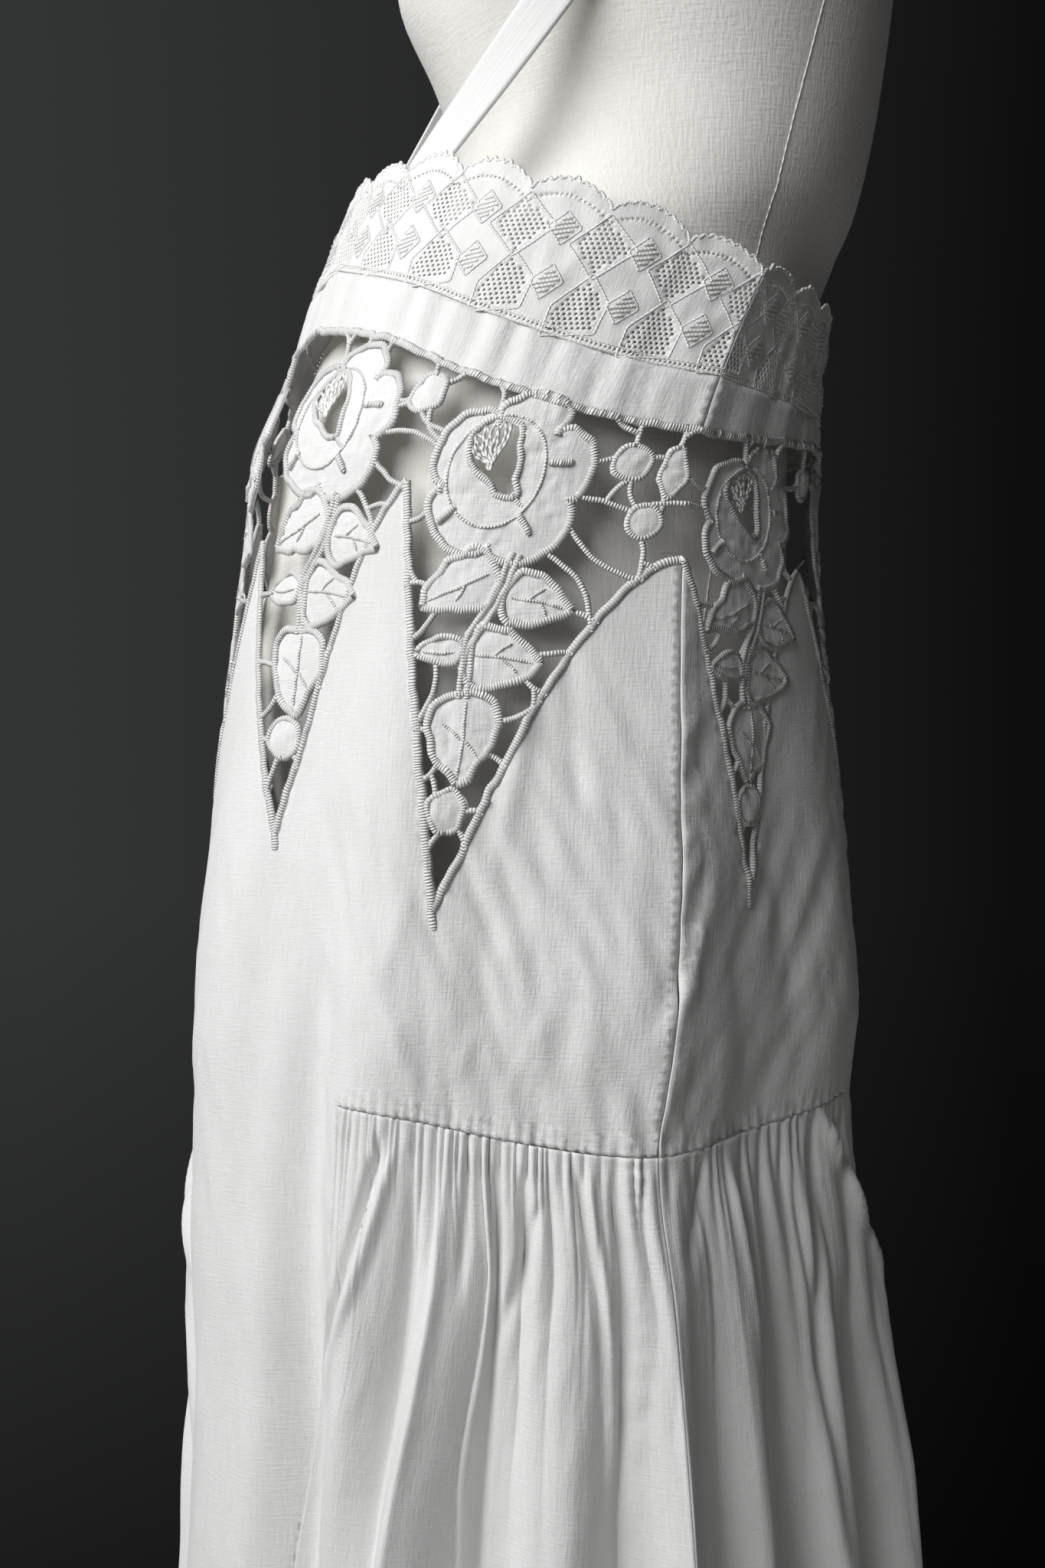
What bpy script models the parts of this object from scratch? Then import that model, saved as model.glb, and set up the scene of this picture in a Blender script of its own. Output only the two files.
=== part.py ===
"""A white cotton summer dress on a limbless dress form.

The dress has a scalloped lace band, two straps, a front and a back panel with a zigzag border of
cutwork roses, and gathered ruffles at the sides and back. The front of the skirt hangs straight to the hem.
The cloth is drawn flat, as girth in degrees against height, and wrapped round the sections below.
Metres, +Z up, the front faces -Y, and the origin is the middle of the stand's underside.
"""
import math

import bmesh
import bpy
from mathutils import Vector
from mathutils.geometry import delaunay_2d_cdt

# Driving dimensions
CLOTH = 0.0018            # wall of the linen panels and ruffles, with its seam allowances
LACE = 0.0020             # wall of the embroidered band
STRAP_THICK = 0.0018
STRAP_WIDTH = 0.020
GAP = 0.0003              # between pieces at a seam
BAR_WIDTH = 0.0032        # the stitched bars of the cutwork
RUFFLE_DROP = 0.315
RUFFLE_ROWS = (0.012, 0.050, 0.100, 0.160, 0.225, 0.315)
RUFFLE_START = -54.0      # girth where the front ruffle begins at its seam
RUFFLE_SWEEP = 17.0       # degrees by which its front edge swings forward at the hem
SIDE_GATHERS = 17         # in each ruffle beside the front
BACK_GATHERS = 40
SCALLOPS = 12             # on each half of the lace band
SCALLOP_DEPTH = 0.009
SEAM_HALF = 0.07          # degrees from the side seam's line to each panel
SMALLEST_GAP = 0.000016   # square metres: cutwork gaps under 4 mm stay closed
METRES_PER_DEGREE = 0.00255
NECK_CAP_HEIGHT = 0.012
POLE_RADIUS = 0.0125
BASE_RADIUS = 0.175
BASE_HEIGHT = 0.014

# Sections of the dress, from the top edge to the hem
DRESS_COLUMNS = ("z", "half_width", "half_depth", "mid_y", "corner", "seam_turn")
DRESS = (
    (1.130, 0.123, 0.123, -0.0010, 0.010, 10.0),
    (1.100, 0.126, 0.126, -0.0110, 0.011, 10.0),
    (1.060, 0.132, 0.132, -0.0205, 0.012, 9.0),
    (1.023, 0.135, 0.134, -0.0305, 0.012, 5.0),
    (0.984, 0.141, 0.141, -0.0400, 0.012, 1.0),
    (0.946, 0.143, 0.142, -0.0435, 0.013, -2.0),
    (0.870, 0.150, 0.150, -0.0455, 0.014, -4.0),
    (0.793, 0.158, 0.158, -0.0460, 0.014, -5.0),
    (0.716, 0.164, 0.165, -0.0460, 0.014, -7.0),
    (0.660, 0.162, 0.161, -0.0500, 0.014, -8.0),
    (0.600, 0.168, 0.166, -0.0460, 0.014, -8.0),
    (0.544, 0.172, 0.167, -0.0420, 0.014, -8.5),
    (0.430, 0.181, 0.175, -0.0350, 0.014, -9.5),
    (0.330, 0.188, 0.182, -0.0300, 0.014, -9.5),
)

# Seams and edges, from the centre front at -90 round the side at 0 to the centre back at 90
EDGE_COLUMNS = ("girth", "top", "lace_bottom", "strip_bottom", "ruffle_seam")
EDGES = (
    (-90.0, 1.1190, 1.0700, 1.0400, 0.6840),
    (-65.0, 1.1160, 1.0535, 1.0270, 0.6830),
    (-45.0, 1.1020, 1.0335, 1.0060, 0.6785),
    (-22.0, 1.0830, 1.0145, 0.9880, 0.6680),
    (0.0, 1.0630, 1.0050, 0.9790, 0.6618),
    (22.0, 1.0575, 1.0010, 0.9810, 0.6680),
    (45.0, 1.0550, 0.9990, 0.9850, 0.6780),
    (90.0, 1.0530, 0.9970, 0.9900, 0.6800),
)

# Soft folds of the skirt on one side; the other side mirrors them
FOLD_COLUMNS = ("girth", "rise", "spread")
FOLDS = (
    (-89.0, 0.006, 15.0),
    (-66.0, -0.010, 9.0),
    (-50.0, 0.006, 10.0),
    (-26.0, -0.004, 13.0),
    (20.0, -0.006, 10.0),
    (40.0, 0.005, 12.0),
    (64.0, -0.006, 12.0),
    (90.0, 0.007, 15.0),
)

# Broad folds of the ruffles at the hem, by share of their width: the side ruffles from their front edge,
# the back ruffle from the side seam to the centre back
FOLD_LINE_COLUMNS = ("share", "rise")
SIDE_FOLDS = (
    (0.0, 0.002), (0.04, -0.001), (0.14, 0.007), (0.285, -0.008), (0.36, 0.008), (0.55, -0.009),
    (0.70, 0.007), (0.775, 0.008), (0.885, -0.010), (1.0, 0.010),
)
BACK_FOLDS = (
    (0.0, 0.010), (0.07, -0.009), (0.15, 0.008), (0.23, -0.008), (0.31, 0.009), (0.40, -0.009), (0.49, 0.008),
    (0.57, -0.009), (0.66, 0.010), (0.75, -0.008), (0.84, 0.009), (0.92, -0.009), (1.0, 0.008),
)

# Cutwork repeats on one side: the tips of cloth beside each, how its edges bow, its low point and its rose
REPEAT_COLUMNS = ("left", "left_z", "left_bow", "right", "right_z", "right_bow", "low", "low_z",
                  "rose", "rose_z", "rose_r")
REPEATS = (
    (-90.0, 0.937, 1.00, -50.4, 0.957, 0.70, -75.4, 0.799, -69.5, 0.988, 0.0385),
    (-50.4, 0.957, 1.00, 0.0, 0.921, 0.62, -39.2, 0.766, -31.2, 0.957, 0.0405),
    (0.0, 0.921, 0.75, 33.0, 0.921, 0.55, 15.2, 0.774, 17.0, 0.942, 0.0350),
    (33.0, 0.921, 0.70, 90.0, 0.940, 0.62, 52.0, 0.779, 57.0, 0.946, 0.0365),
)

# The motifs below a rose, from its middle, with the reach of a rose's eye
MOTIF_COLUMNS = ("name", "across", "up", "length", "width", "turn", "point")
MOTIFS = (
    ("leaf_a", -0.0180, -0.0480, 0.041, 0.027, 205.0, 0.40),
    ("leaf_b", 0.0190, -0.0556, 0.031, 0.025, -32.0, 0.35),
    ("leaf_c", -0.0245, -0.0770, 0.023, 0.015, 183.0, 0.20),
    ("leaf_d", 0.0050, -0.0810, 0.035, 0.028, -10.0, 0.35),
    ("leaf_e", -0.0118, -0.1155, 0.042, 0.033, -93.0, 0.40),
    ("berry_f", -0.0170, -0.1470, 0.021, 0.019, -90.0, 0.10),
)
STEM = ((0.008, -0.034), (-0.001, -0.0585), (-0.011, -0.0710), (-0.012, -0.0980))
STEM_WIDTH = 0.0062
EYE = (-0.0066, 0.0080, 0.036, 0.019, -60.0, 0.60)
PETAL_COLUMNS = ("from", "to", "reach", "notch")
PETALS = (
    (47.0, 114.0, 1.00, 0.66),
    (-21.0, 47.0, 0.95, 0.74),
    (-102.0, -21.0, 1.02, 0.79),
    (-174.0, -102.0, 1.03, 0.84),
    (114.0, 186.0, 1.03, 0.80),
)

# Buds and berries that stand beside the roses, by girth and height
EXTRA_COLUMNS = ("name", "girth", "z", "length", "width", "turn", "point")
EXTRAS = (
    ("berry_g", -50.4, 0.9970, 0.020, 0.019, 80.0, 0.0),
    ("bell", -10.2, 0.9640, 0.018, 0.018, 90.0, 0.15),
    ("oval_bud", -3.0, 0.9600, 0.024, 0.013, 90.0, 0.0),
    ("knot", -6.6, 0.9370, 0.017, 0.016, 80.0, 0.0),
    ("berry_h", 35.5, 0.9640, 0.017, 0.015, 80.0, 0.0),
)

# Bars: the shape that each leaves, its direction, and how far it may reach
BAR_COLUMNS = ("shape", "turn", "longest")
BARS = (
    ("rose", 112, 0.03), ("rose", 62, 0.03), ("rose", 86, 0.02), ("rose", 148, 0.03), ("rose", 178, 0.03),
    ("rose", 202, 0.03), ("rose", 10, 0.03), ("rose", -16, 0.04), ("rose", -36, 0.05), ("rose", -58, 0.05),
    ("leaf_a", 178, 0.03), ("leaf_a", 228, 0.02), ("leaf_b", 18, 0.05), ("leaf_b", -20, 0.04),
    ("leaf_c", 185, 0.03), ("leaf_c", 255, 0.03), ("leaf_d", -38, 0.04), ("leaf_d", 5, 0.03),
    ("leaf_e", 170, 0.03), ("leaf_e", 225, 0.03), ("leaf_e", 25, 0.04), ("leaf_e", -30, 0.03),
    ("berry_f", 182, 0.03), ("berry_f", -5, 0.03), ("berry_f", -105, 0.04), ("berry_f", -60, 0.03),
)
EXTRA_BARS = (
    ("berry_g", 95, 0.03), ("berry_g", 200, 0.03), ("berry_g", -60, 0.03), ("berry_g", -110, 0.04),
    ("berry_g", 30, 0.03), ("bell", 88, 0.03), ("bell", -75, 0.03), ("bell", 5, 0.02), ("oval_bud", 90, 0.03),
    ("oval_bud", -100, 0.03), ("oval_bud", -20, 0.02), ("knot", -95, 0.03), ("knot", 205, 0.03),
    ("knot", 0, 0.02),
    ("berry_h", 92, 0.03), ("berry_h", 185, 0.03), ("berry_h", -85, 0.05), ("berry_h", 0, 0.03),
)

# Sections of the dress form, from its flat bottom to the neck
FORM_COLUMNS = ("z", "half_width", "half_depth", "mid_y", "squareness")
FORM = (
    (0.740, 0.118, 0.098, -0.0300, 2.2),
    (0.752, 0.124, 0.108, -0.0340, 2.2),
    (0.800, 0.131, 0.122, -0.0420, 2.2),
    (0.870, 0.134, 0.130, -0.0480, 2.1),
    (0.940, 0.131, 0.128, -0.0440, 2.0),
    (0.990, 0.127, 0.1255, -0.0395, 2.0),
    (1.023, 0.123, 0.1215, -0.0305, 2.0),
    (1.050, 0.121, 0.118, -0.0215, 2.0),
    (1.080, 0.121, 0.113, -0.0020, 2.0),
    (1.107, 0.125, 0.102, 0.0200, 2.0),
    (1.146, 0.130, 0.0985, 0.0320, 2.0),
    (1.185, 0.136, 0.1035, 0.0320, 2.05),
    (1.224, 0.142, 0.1070, 0.0300, 2.15),
    (1.260, 0.147, 0.106, 0.0300, 2.3),
    (1.300, 0.154, 0.099, 0.0310, 2.4),
    (1.340, 0.163, 0.089, 0.0340, 2.5),
    (1.368, 0.167, 0.079, 0.0370, 2.5),
    (1.392, 0.156, 0.071, 0.0390, 2.4),
    (1.410, 0.128, 0.065, 0.0400, 2.2),
    (1.424, 0.094, 0.061, 0.0405, 2.0),
    (1.438, 0.068, 0.058, 0.0400, 2.0),
    (1.470, 0.058, 0.056, 0.0380, 2.0),
    (1.500, 0.057, 0.056, 0.0360, 2.0),
)
BUST = {"z": 1.240, "turn": 33.0, "rise": 0.017, "tall": 0.042, "wide": 20.0}


def column(rows, names, name, at):
    """The value of one column, read along a smooth curve through the table's rows."""
    k = names.index(name)
    key = [row[0] for row in rows]
    if key[0] > key[-1]:
        return column(rows[::-1], names, name, at)
    at = min(max(at, key[0]), key[-1])
    i = max(j for j in range(len(rows) - 1) if key[j] <= at)
    before, here = rows[max(i - 1, 0)], rows[i]
    there, after = rows[i + 1], rows[min(i + 2, len(rows) - 1)]
    span = there[0] - here[0]
    t = (at - here[0]) / span
    slope_here = (there[k] - before[k]) / (there[0] - before[0]) * span
    slope_there = (after[k] - here[k]) / (after[0] - here[0]) * span
    return ((2 * t**3 - 3 * t**2 + 1) * here[k] + (t**3 - 2 * t**2 + t) * slope_here
            + (3 * t**2 - 2 * t**3) * there[k] + (t**3 - t**2) * slope_there)


def smooth(low, high, value):
    """0 below low, 1 above high, and an even curve between them."""
    t = min(max((value - low) / (high - low), 0.0), 1.0)
    return t * t * (3 - 2 * t)


def near_side(girth):
    """The girth on the wearer's left that mirrors this one."""
    girth = (girth + 180.0) % 360.0 - 180.0
    if girth < -90.0:
        return -180.0 - girth
    if girth > 90.0:
        return 180.0 - girth
    return girth


def edge(name, girth):
    return column(EDGES, EDGE_COLUMNS, name, near_side(girth))


def dress_radius(girth, z):
    """The direction and length of the line from the section's middle to the cloth."""
    size = {name: column(DRESS, DRESS_COLUMNS, name, z) for name in DRESS_COLUMNS[1:]}
    across = math.cos(math.radians(girth))
    turn = math.radians(girth + size["seam_turn"] * across * abs(across))
    radius = 1.0 / math.hypot(math.cos(turn) / size["half_width"], math.sin(turn) / size["half_depth"])
    side = near_side(girth)
    radius += size["corner"] * math.exp(-abs(side) / 15.0)
    hang = smooth(1.00, 0.70, z) if z < 1.0 else 0.0
    hang *= 1.0 + 0.9 * smooth(0.0, 0.33, 0.68 - z)
    for row in FOLDS:
        fold = dict(zip(FOLD_COLUMNS, row))
        radius += hang * fold["rise"] * math.exp(-(((side - fold["girth"]) / fold["spread"]) ** 2))
    return turn, radius, size["mid_y"]


def dress_point(girth, z, out=0.0):
    turn, radius, mid_y = dress_radius(girth, z)
    return Vector(((radius + out) * math.cos(turn), mid_y + (radius + out) * math.sin(turn), z))


def finish(name, bm, colour, roughness, metallic=0.0, smooth_angle=35.0):
    """Makes the object, with its own material, from a finished bmesh."""
    bmesh.ops.recalc_face_normals(bm, faces=bm.faces)
    mesh = bpy.data.meshes.new(name)
    bm.to_mesh(mesh)
    bm.free()
    item = bpy.data.objects.new(name, mesh)
    bpy.context.scene.collection.objects.link(item)
    finish_material = bpy.data.materials.new(name)
    finish_material.use_nodes = True
    shader = finish_material.node_tree.nodes["Principled BSDF"]
    shader.inputs["Base Color"].default_value = (*colour, 1.0)
    shader.inputs["Roughness"].default_value = roughness
    shader.inputs["Metallic"].default_value = metallic
    mesh.materials.append(finish_material)
    mesh.shade_smooth()
    mesh.set_sharp_from_angle(angle=math.radians(smooth_angle))
    return item


COTTON = ((0.86, 0.85, 0.82), 0.85)
LINEN_COVER = ((0.80, 0.77, 0.71), 0.9)
BLACK_IRON = ((0.03, 0.03, 0.035), 0.45)


def wall_from_sheet(bm, points, triangles, place, thick):
    """A closed wall: the flat triangles on an outer and an inner face, joined round every edge and gap."""
    outer = [bm.verts.new(place(p, thick / 2)) for p in points]
    inner = [bm.verts.new(place(p, -thick / 2)) for p in points]
    used = {}
    for a, b, c in triangles:
        bm.faces.new((outer[a], outer[b], outer[c]))
        bm.faces.new((inner[c], inner[b], inner[a]))
        for one, two in ((a, b), (b, c), (c, a)):
            used[(one, two)] = True
    for one, two in used:
        if (two, one) not in used:
            bm.faces.new((outer[two], outer[one], inner[one], inner[two]))


def grid_wall(bm, rows, thick, shift):
    """A closed wall through rows of (girth, z, out) points; shift adds the wall's half thickness."""
    wide = len(rows[0])
    points = [p for row in rows for p in row]
    triangles = []
    for i in range(len(rows) - 1):
        for j in range(wide - 1):
            a, b = i * wide + j, i * wide + j + 1
            c, d = a + wide, b + wide
            triangles += [(a, c, b), (b, c, d)]
    wall_from_sheet(bm, points, triangles, shift, thick)


# Flat shapes of the cutwork, in metres of girth against height


def flat(girth, z):
    return (girth * METRES_PER_DEGREE, z)


def rose_outline(middle, radius, each=4):
    """Five round petals with notches between them."""
    points = []
    for row in sorted(PETALS, key=lambda row: row[0]):
        petal = dict(zip(PETAL_COLUMNS, row))
        for k in range(each):
            angle = math.radians(petal["from"] + (petal["to"] - petal["from"]) * k / each)
            reach = petal["notch"] + (petal["reach"] - petal["notch"]) * math.sin(math.pi * k / each) ** 0.5
            points.append((middle[0] + radius * reach * math.cos(angle),
                           middle[1] + radius * reach * math.sin(angle)))
    return points


def drop_outline(middle, length, width, turn, count=9, point=0.35):
    """A leaf: an oval drawn to a blunt point at its far end, turned by degrees."""
    turn = math.radians(turn)
    points = []
    for k in range(count):
        angle = math.tau * k / count
        along = 0.5 * length * math.cos(angle)
        across = 0.5 * width * math.sin(angle) * (1.0 - point * math.cos(angle))
        points.append((middle[0] + along * math.cos(turn) - across * math.sin(turn),
                       middle[1] + along * math.sin(turn) + across * math.cos(turn)))
    return points


def band_between(start, end, width):
    """The four corners of a straight bar."""
    run = Vector(end) - Vector(start)
    side = Vector((-run.y, run.x)).normalized() * width / 2
    start, end = Vector(start), Vector(end)
    return [tuple(start + side), tuple(start - side), tuple(end - side), tuple(end + side)]


def reach_of(shape, start, direction):
    """How far the ray from start runs before it last leaves the shape, or None if it misses."""
    best = hits(shape, start, direction)
    return max(best) if best else None


def hits(shape, start, direction):
    """The distances at which a ray crosses the outline of a shape."""
    found = []
    for k in range(len(shape)):
        ax, ay = shape[k - 1]
        bx, by = shape[k]
        ex, ey = bx - ax, by - ay
        cross = direction[0] * ey - direction[1] * ex
        if abs(cross) < 1e-12:
            continue
        t = ((ax - start[0]) * ey - (ay - start[1]) * ex) / cross
        u = ((ax - start[0]) * direction[1] - (ay - start[1]) * direction[0]) / cross
        if t > 1e-6 and 0.0 <= u <= 1.0:
            found.append(t)
    return found


def bar_from(shapes, cloth, limits, name, angle, longest, sink=0.0012):
    """A bar that leaves one shape at an angle and ends in the first thing it meets, or at a side seam."""
    own = shapes[name]
    middle = (sum(p[0] for p in own) / len(own), sum(p[1] for p in own) / len(own))
    direction = (math.cos(math.radians(angle)), math.sin(math.radians(angle)))
    leave = reach_of(own, middle, direction)
    if any(sum(t > leave for t in hits(shape, middle, direction)) % 2 for shape in cloth):
        return None
    meets = [t for key, shape in shapes.items() if key != name for t in hits(shape, middle, direction)]
    meets += [t for shape in cloth for t in hits(shape, middle, direction)]
    meets += [(side - middle[0]) / direction[0] for side in limits if abs(direction[0]) > 0.1]
    meets = [t for t in meets if t > leave]
    if not meets or min(meets) - leave > longest or min(meets) - leave < 0.002:
        return None
    start = (middle[0] + direction[0] * (leave - sink), middle[1] + direction[1] * (leave - sink))
    stop = (middle[0] + direction[0] * (min(meets) + sink), middle[1] + direction[1] * (min(meets) + sink))
    return band_between(start, stop, BAR_WIDTH)


def mirrored(shape, centre):
    """A flat shape turned over about the centre front or centre back."""
    return [(2 * centre - x, y) for x, y in shape][::-1]


def motif_shapes(row):
    """The named solid shapes of one repeat below and at its rose, and the rose's open eye."""
    at = dict(zip(REPEAT_COLUMNS, row))
    rose = flat(at["rose"], at["rose_z"])
    low = flat(at["low"], at["low_z"])
    grow = (rose[1] - low[1]) / 0.191
    lean = (low[0] - rose[0]) / grow + 0.0205

    def spot(across, up):
        return (rose[0] + grow * (across - lean * up / 0.191), rose[1] + grow * up)

    shapes = {"rose": rose_outline(rose, at["rose_r"])}
    for motif in MOTIFS:
        of = dict(zip(MOTIF_COLUMNS, motif))
        middle = spot(of["across"], of["up"])
        shapes[of["name"]] = drop_outline(middle, grow * of["length"], grow * of["width"], of["turn"],
                                          point=of["point"])
    stem = [spot(*point) for point in STEM]
    for k in range(len(stem) - 1):
        shapes[f"stem_{k}"] = band_between(stem[k], stem[k + 1], STEM_WIDTH)
    scale = at["rose_r"] / 0.0405
    middle = (rose[0] + scale * EYE[0], rose[1] + scale * EYE[1])
    eye = drop_outline(middle, scale * EYE[2], scale * EYE[3], EYE[4], count=8, point=EYE[5])
    return shapes, eye


def bowed(tip, low, bow, count=6):
    """Points of a cutwork edge from a tip of cloth down to the low point."""
    points = []
    for k in range(count + 1):
        t = k / count
        points.append((tip[0] + (low[0] - tip[0]) * t**bow, tip[1] + (low[1] - tip[1]) * t))
    return points


def cutwork(girth_from, girth_to, below):
    """All flat shapes of one panel: cloth above and below the cutwork, motifs, bars and the open eyes."""
    steps = 60
    across = [girth_from + (girth_to - girth_from) * k / steps for k in range(steps + 1)]
    rows = [row for row in REPEATS if girth_from < (row[0] + row[3]) / 2 < girth_to]
    centre = flat((girth_from + girth_to) / 2, 0)[0]
    limits = (flat(girth_from, 0)[0], flat(girth_to, 0)[0])
    top = [flat(g, edge("lace_bottom", g) - GAP) for g in across]
    bottom = [flat(g, edge("strip_bottom", g)) for g in across[::3]]
    strip = top + bottom[::-1]
    zigzag = []
    for row in rows:
        at = dict(zip(REPEAT_COLUMNS, row))
        low = flat(at["low"], at["low_z"])
        zigzag += bowed(flat(at["left"], at["left_z"]), low, at["left_bow"])
        zigzag += bowed(flat(at["right"], at["right_z"]), low, at["right_bow"])[::-1]
    zigzag += [(2 * centre - x, y) for x, y in zigzag]
    zigzag = [(min(max(x, limits[0]), limits[1]), y) for x, y in zigzag]
    lower = sorted(set((round(x, 6), round(y, 6)) for x, y in zigzag)) + below
    shapes, eyes, wanted = {}, [], []
    for turned in (False, True):
        for k, row in enumerate(rows):
            tag = f"{k}{'m' if turned else ''}_"
            one, eye = motif_shapes(row)
            for name, shape in one.items():
                shapes[tag + name] = mirrored(shape, centre) if turned else shape
            eyes.append(mirrored(eye, centre) if turned else eye)
            wanted += [(tag + name, 180 - angle if turned else angle, longest)
                       for name, angle, longest in BARS]
        for row in EXTRAS:
            of = dict(zip(EXTRA_COLUMNS, row))
            if girth_from < of["girth"] < girth_to:
                shape = drop_outline(flat(of["girth"], of["z"]), of["length"], of["width"], of["turn"], 8,
                                     of["point"])
                tag = "m_" if turned else ""
                shapes[tag + of["name"]] = mirrored(shape, centre) if turned else shape
                wanted += [(tag + name, 180 - angle if turned else angle, longest)
                           for name, angle, longest in EXTRA_BARS if name == of["name"]]
    for k, (name, angle, longest) in enumerate(wanted):
        bar = bar_from(shapes, (strip, lower), limits, name, angle, longest)
        if bar:
            shapes[f"bar_{k}"] = [(min(max(x, limits[0]), limits[1]), y) for x, y in bar]
    return [strip, lower] + list(shapes.values()), eyes


def area(loop):
    return sum(loop[k - 1][0] * loop[k][1] - loop[k][0] * loop[k - 1][1] for k in range(len(loop))) / 2


def triangulate(faces, loose=(), output=1):
    """Flat triangles, each with the list of the given faces that cover it."""
    faces = [face if area(face) > 0 else face[::-1] for face in faces]
    points = [Vector(p) for face in faces for p in face]
    starts = [sum(len(f) for f in faces[:k]) for k in range(len(faces))]
    rings = [list(range(s, s + len(f))) for s, f in zip(starts, faces)]
    points += [Vector(p) for p in loose]
    found = delaunay_2d_cdt(points, [], rings, output, 1e-7)
    return [tuple(p) for p in found[0]], found[2], found[5]


def border_loops(triangles):
    """The closed loops of edges that only one triangle has."""
    half = {}
    for tri in triangles:
        for k in range(3):
            half[(tri[k], tri[(k + 1) % 3])] = True
    follows = {}
    for one, two in half:
        if (two, one) not in half:
            follows.setdefault(one, []).append(two)
    if any(len(v) > 1 for v in follows.values()):
        raise ValueError("two gaps of the cutwork touch at a point")
    loops = []
    while follows:
        loop = [next(iter(follows))]
        while loop[-1] in follows:
            loop.append(follows.pop(loop[-1])[0])
        loops.append(loop[:-1])
    return loops


def thinned(loop, shortest=0.0016):
    """The loop without points that lie very close to the one before, or on a straight run."""
    kept = []
    for k, point in enumerate(loop):
        before = kept[-1] if kept else loop[k - 1]
        after = loop[(k + 1) % len(loop)]
        a, b = Vector(point) - Vector(before), Vector(after) - Vector(point)
        bend = abs(a.x * b.y - a.y * b.x) / max(a.length * b.length, 1e-12)
        if kept and (a.length < shortest or (bend < 0.03 and a.length < 0.006)):
            continue
        kept.append(point)
    return kept


def far_from(point, loops, least):
    """True if a point is at least this far from every edge of the loops."""
    for loop in loops:
        for k in range(len(loop)):
            a, b = Vector(loop[k - 1]), Vector(loop[k])
            run = b - a
            t = min(max((Vector(point) - a).dot(run) / max(run.length_squared, 1e-12), 0.0), 1.0)
            if (Vector(point) - a - run * t).length < least:
                return False
    return True


def panel(name, girth_from, girth_to, below, lowest):
    """A linen panel with its cutwork, from the lace band down to the ruffle seam or the hem."""
    faces, eyes = cutwork(girth_from, girth_to, below)
    points, triangles, covers = triangulate(faces + eyes)
    kept = [t for t, c in zip(triangles, covers) if c and max(c) < len(faces)]
    loops = [[points[i] for i in loop] for loop in border_loops(kept)]
    loops.sort(key=lambda loop: -abs(area(loop)))
    outline = thinned(loops[0])
    gaps = [thinned(loop) for loop in loops[1:] if abs(area(loop)) > SMALLEST_GAP]
    gaps = [loop for loop in gaps if len(loop) > 2]
    left, right = flat(girth_from, 0)[0], flat(girth_to, 0)[0]
    across, z = 18, lowest + 0.045
    loose = []
    while z < 1.06:
        loose += [(left + (right - left) * (k + 0.5) / across, z) for k in range(across)]
        z += 0.050
    loose = [p for p in loose if far_from(p, [outline] + gaps, 0.0045)]
    points, triangles, covers = triangulate([outline] + gaps, loose)
    triangles = [t for t, c in zip(triangles, covers) if c == [0]]
    bm = bmesh.new()

    def place(point, out):
        return dress_point(point[0] / METRES_PER_DEGREE, point[1], out)

    wall_from_sheet(bm, points, triangles, place, CLOTH)
    loose_points = [v for v in bm.verts if not v.link_faces]
    bmesh.ops.delete(bm, geom=loose_points, context="VERTS")
    print(name, "gaps", len(gaps), "faces", len(bm.faces))
    return finish(name, bm, *COTTON)


def ruffle_edge(z):
    """The girth of the front edge of the side ruffle, which swings forward towards the hem."""
    return RUFFLE_START - RUFFLE_SWEEP * smooth(0.02, 0.24, edge("ruffle_seam", RUFFLE_START) - z)


def front_outline():
    """The lower outline of the front panel, from its left side round the long middle to its right side."""
    seam = [RUFFLE_START * k / SIDE_GATHERS for k in range(1, SIDE_GATHERS)]
    seam = [-SEAM_HALF] + seam + [RUFFLE_START - 2 * SEAM_HALF]
    seam = [flat(g, edge("ruffle_seam", g)) for g in seam]
    hem_z = edge("ruffle_seam", -90) - RUFFLE_DROP
    start = edge("ruffle_seam", RUFFLE_START)
    side = [start - drop for drop in RUFFLE_ROWS]
    side = [flat(ruffle_edge(z) - 2 * SEAM_HALF, z) for z in side]
    hem = [flat(g, hem_z) for g in (-75, -80, -85, -90)]
    half = seam + side + hem
    centre = flat(-90, 0)[0]
    return half + [(2 * centre - x, y) for x, y in half[-2::-1]]


def back_outline():
    girths = [180.0 - 180.0 * k / BACK_GATHERS for k in range(BACK_GATHERS + 1)]
    girths = [min(max(g, SEAM_HALF), 180.0 - SEAM_HALF) for g in girths]
    return [flat(g, edge("ruffle_seam", g)) for g in girths]


def lace_band(name, girth_from, girth_to):
    """The embroidered band: a wall with a scalloped top edge."""
    each = 5
    count = SCALLOPS * each
    rows = []
    for level in (0.0, 0.5, 1.0):
        row = []
        for k in range(count + 1):
            girth = girth_from + (girth_to - girth_from) * k / count
            girth = min(max(girth, girth_from + SEAM_HALF), girth_to - SEAM_HALF)
            low, top = edge("lace_bottom", girth), edge("top", girth)
            top += SCALLOP_DEPTH * (abs(math.sin(math.pi * k / each)) ** 0.7 - 1.0)
            row.append((girth, low + (top - low) * level, 0.0))
        rows.append(row)
    bm = bmesh.new()
    grid_wall(bm, rows, LACE, lambda p, out: dress_point(p[0], p[1], p[2] + out))
    return finish(name, bm, *COTTON)


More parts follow.
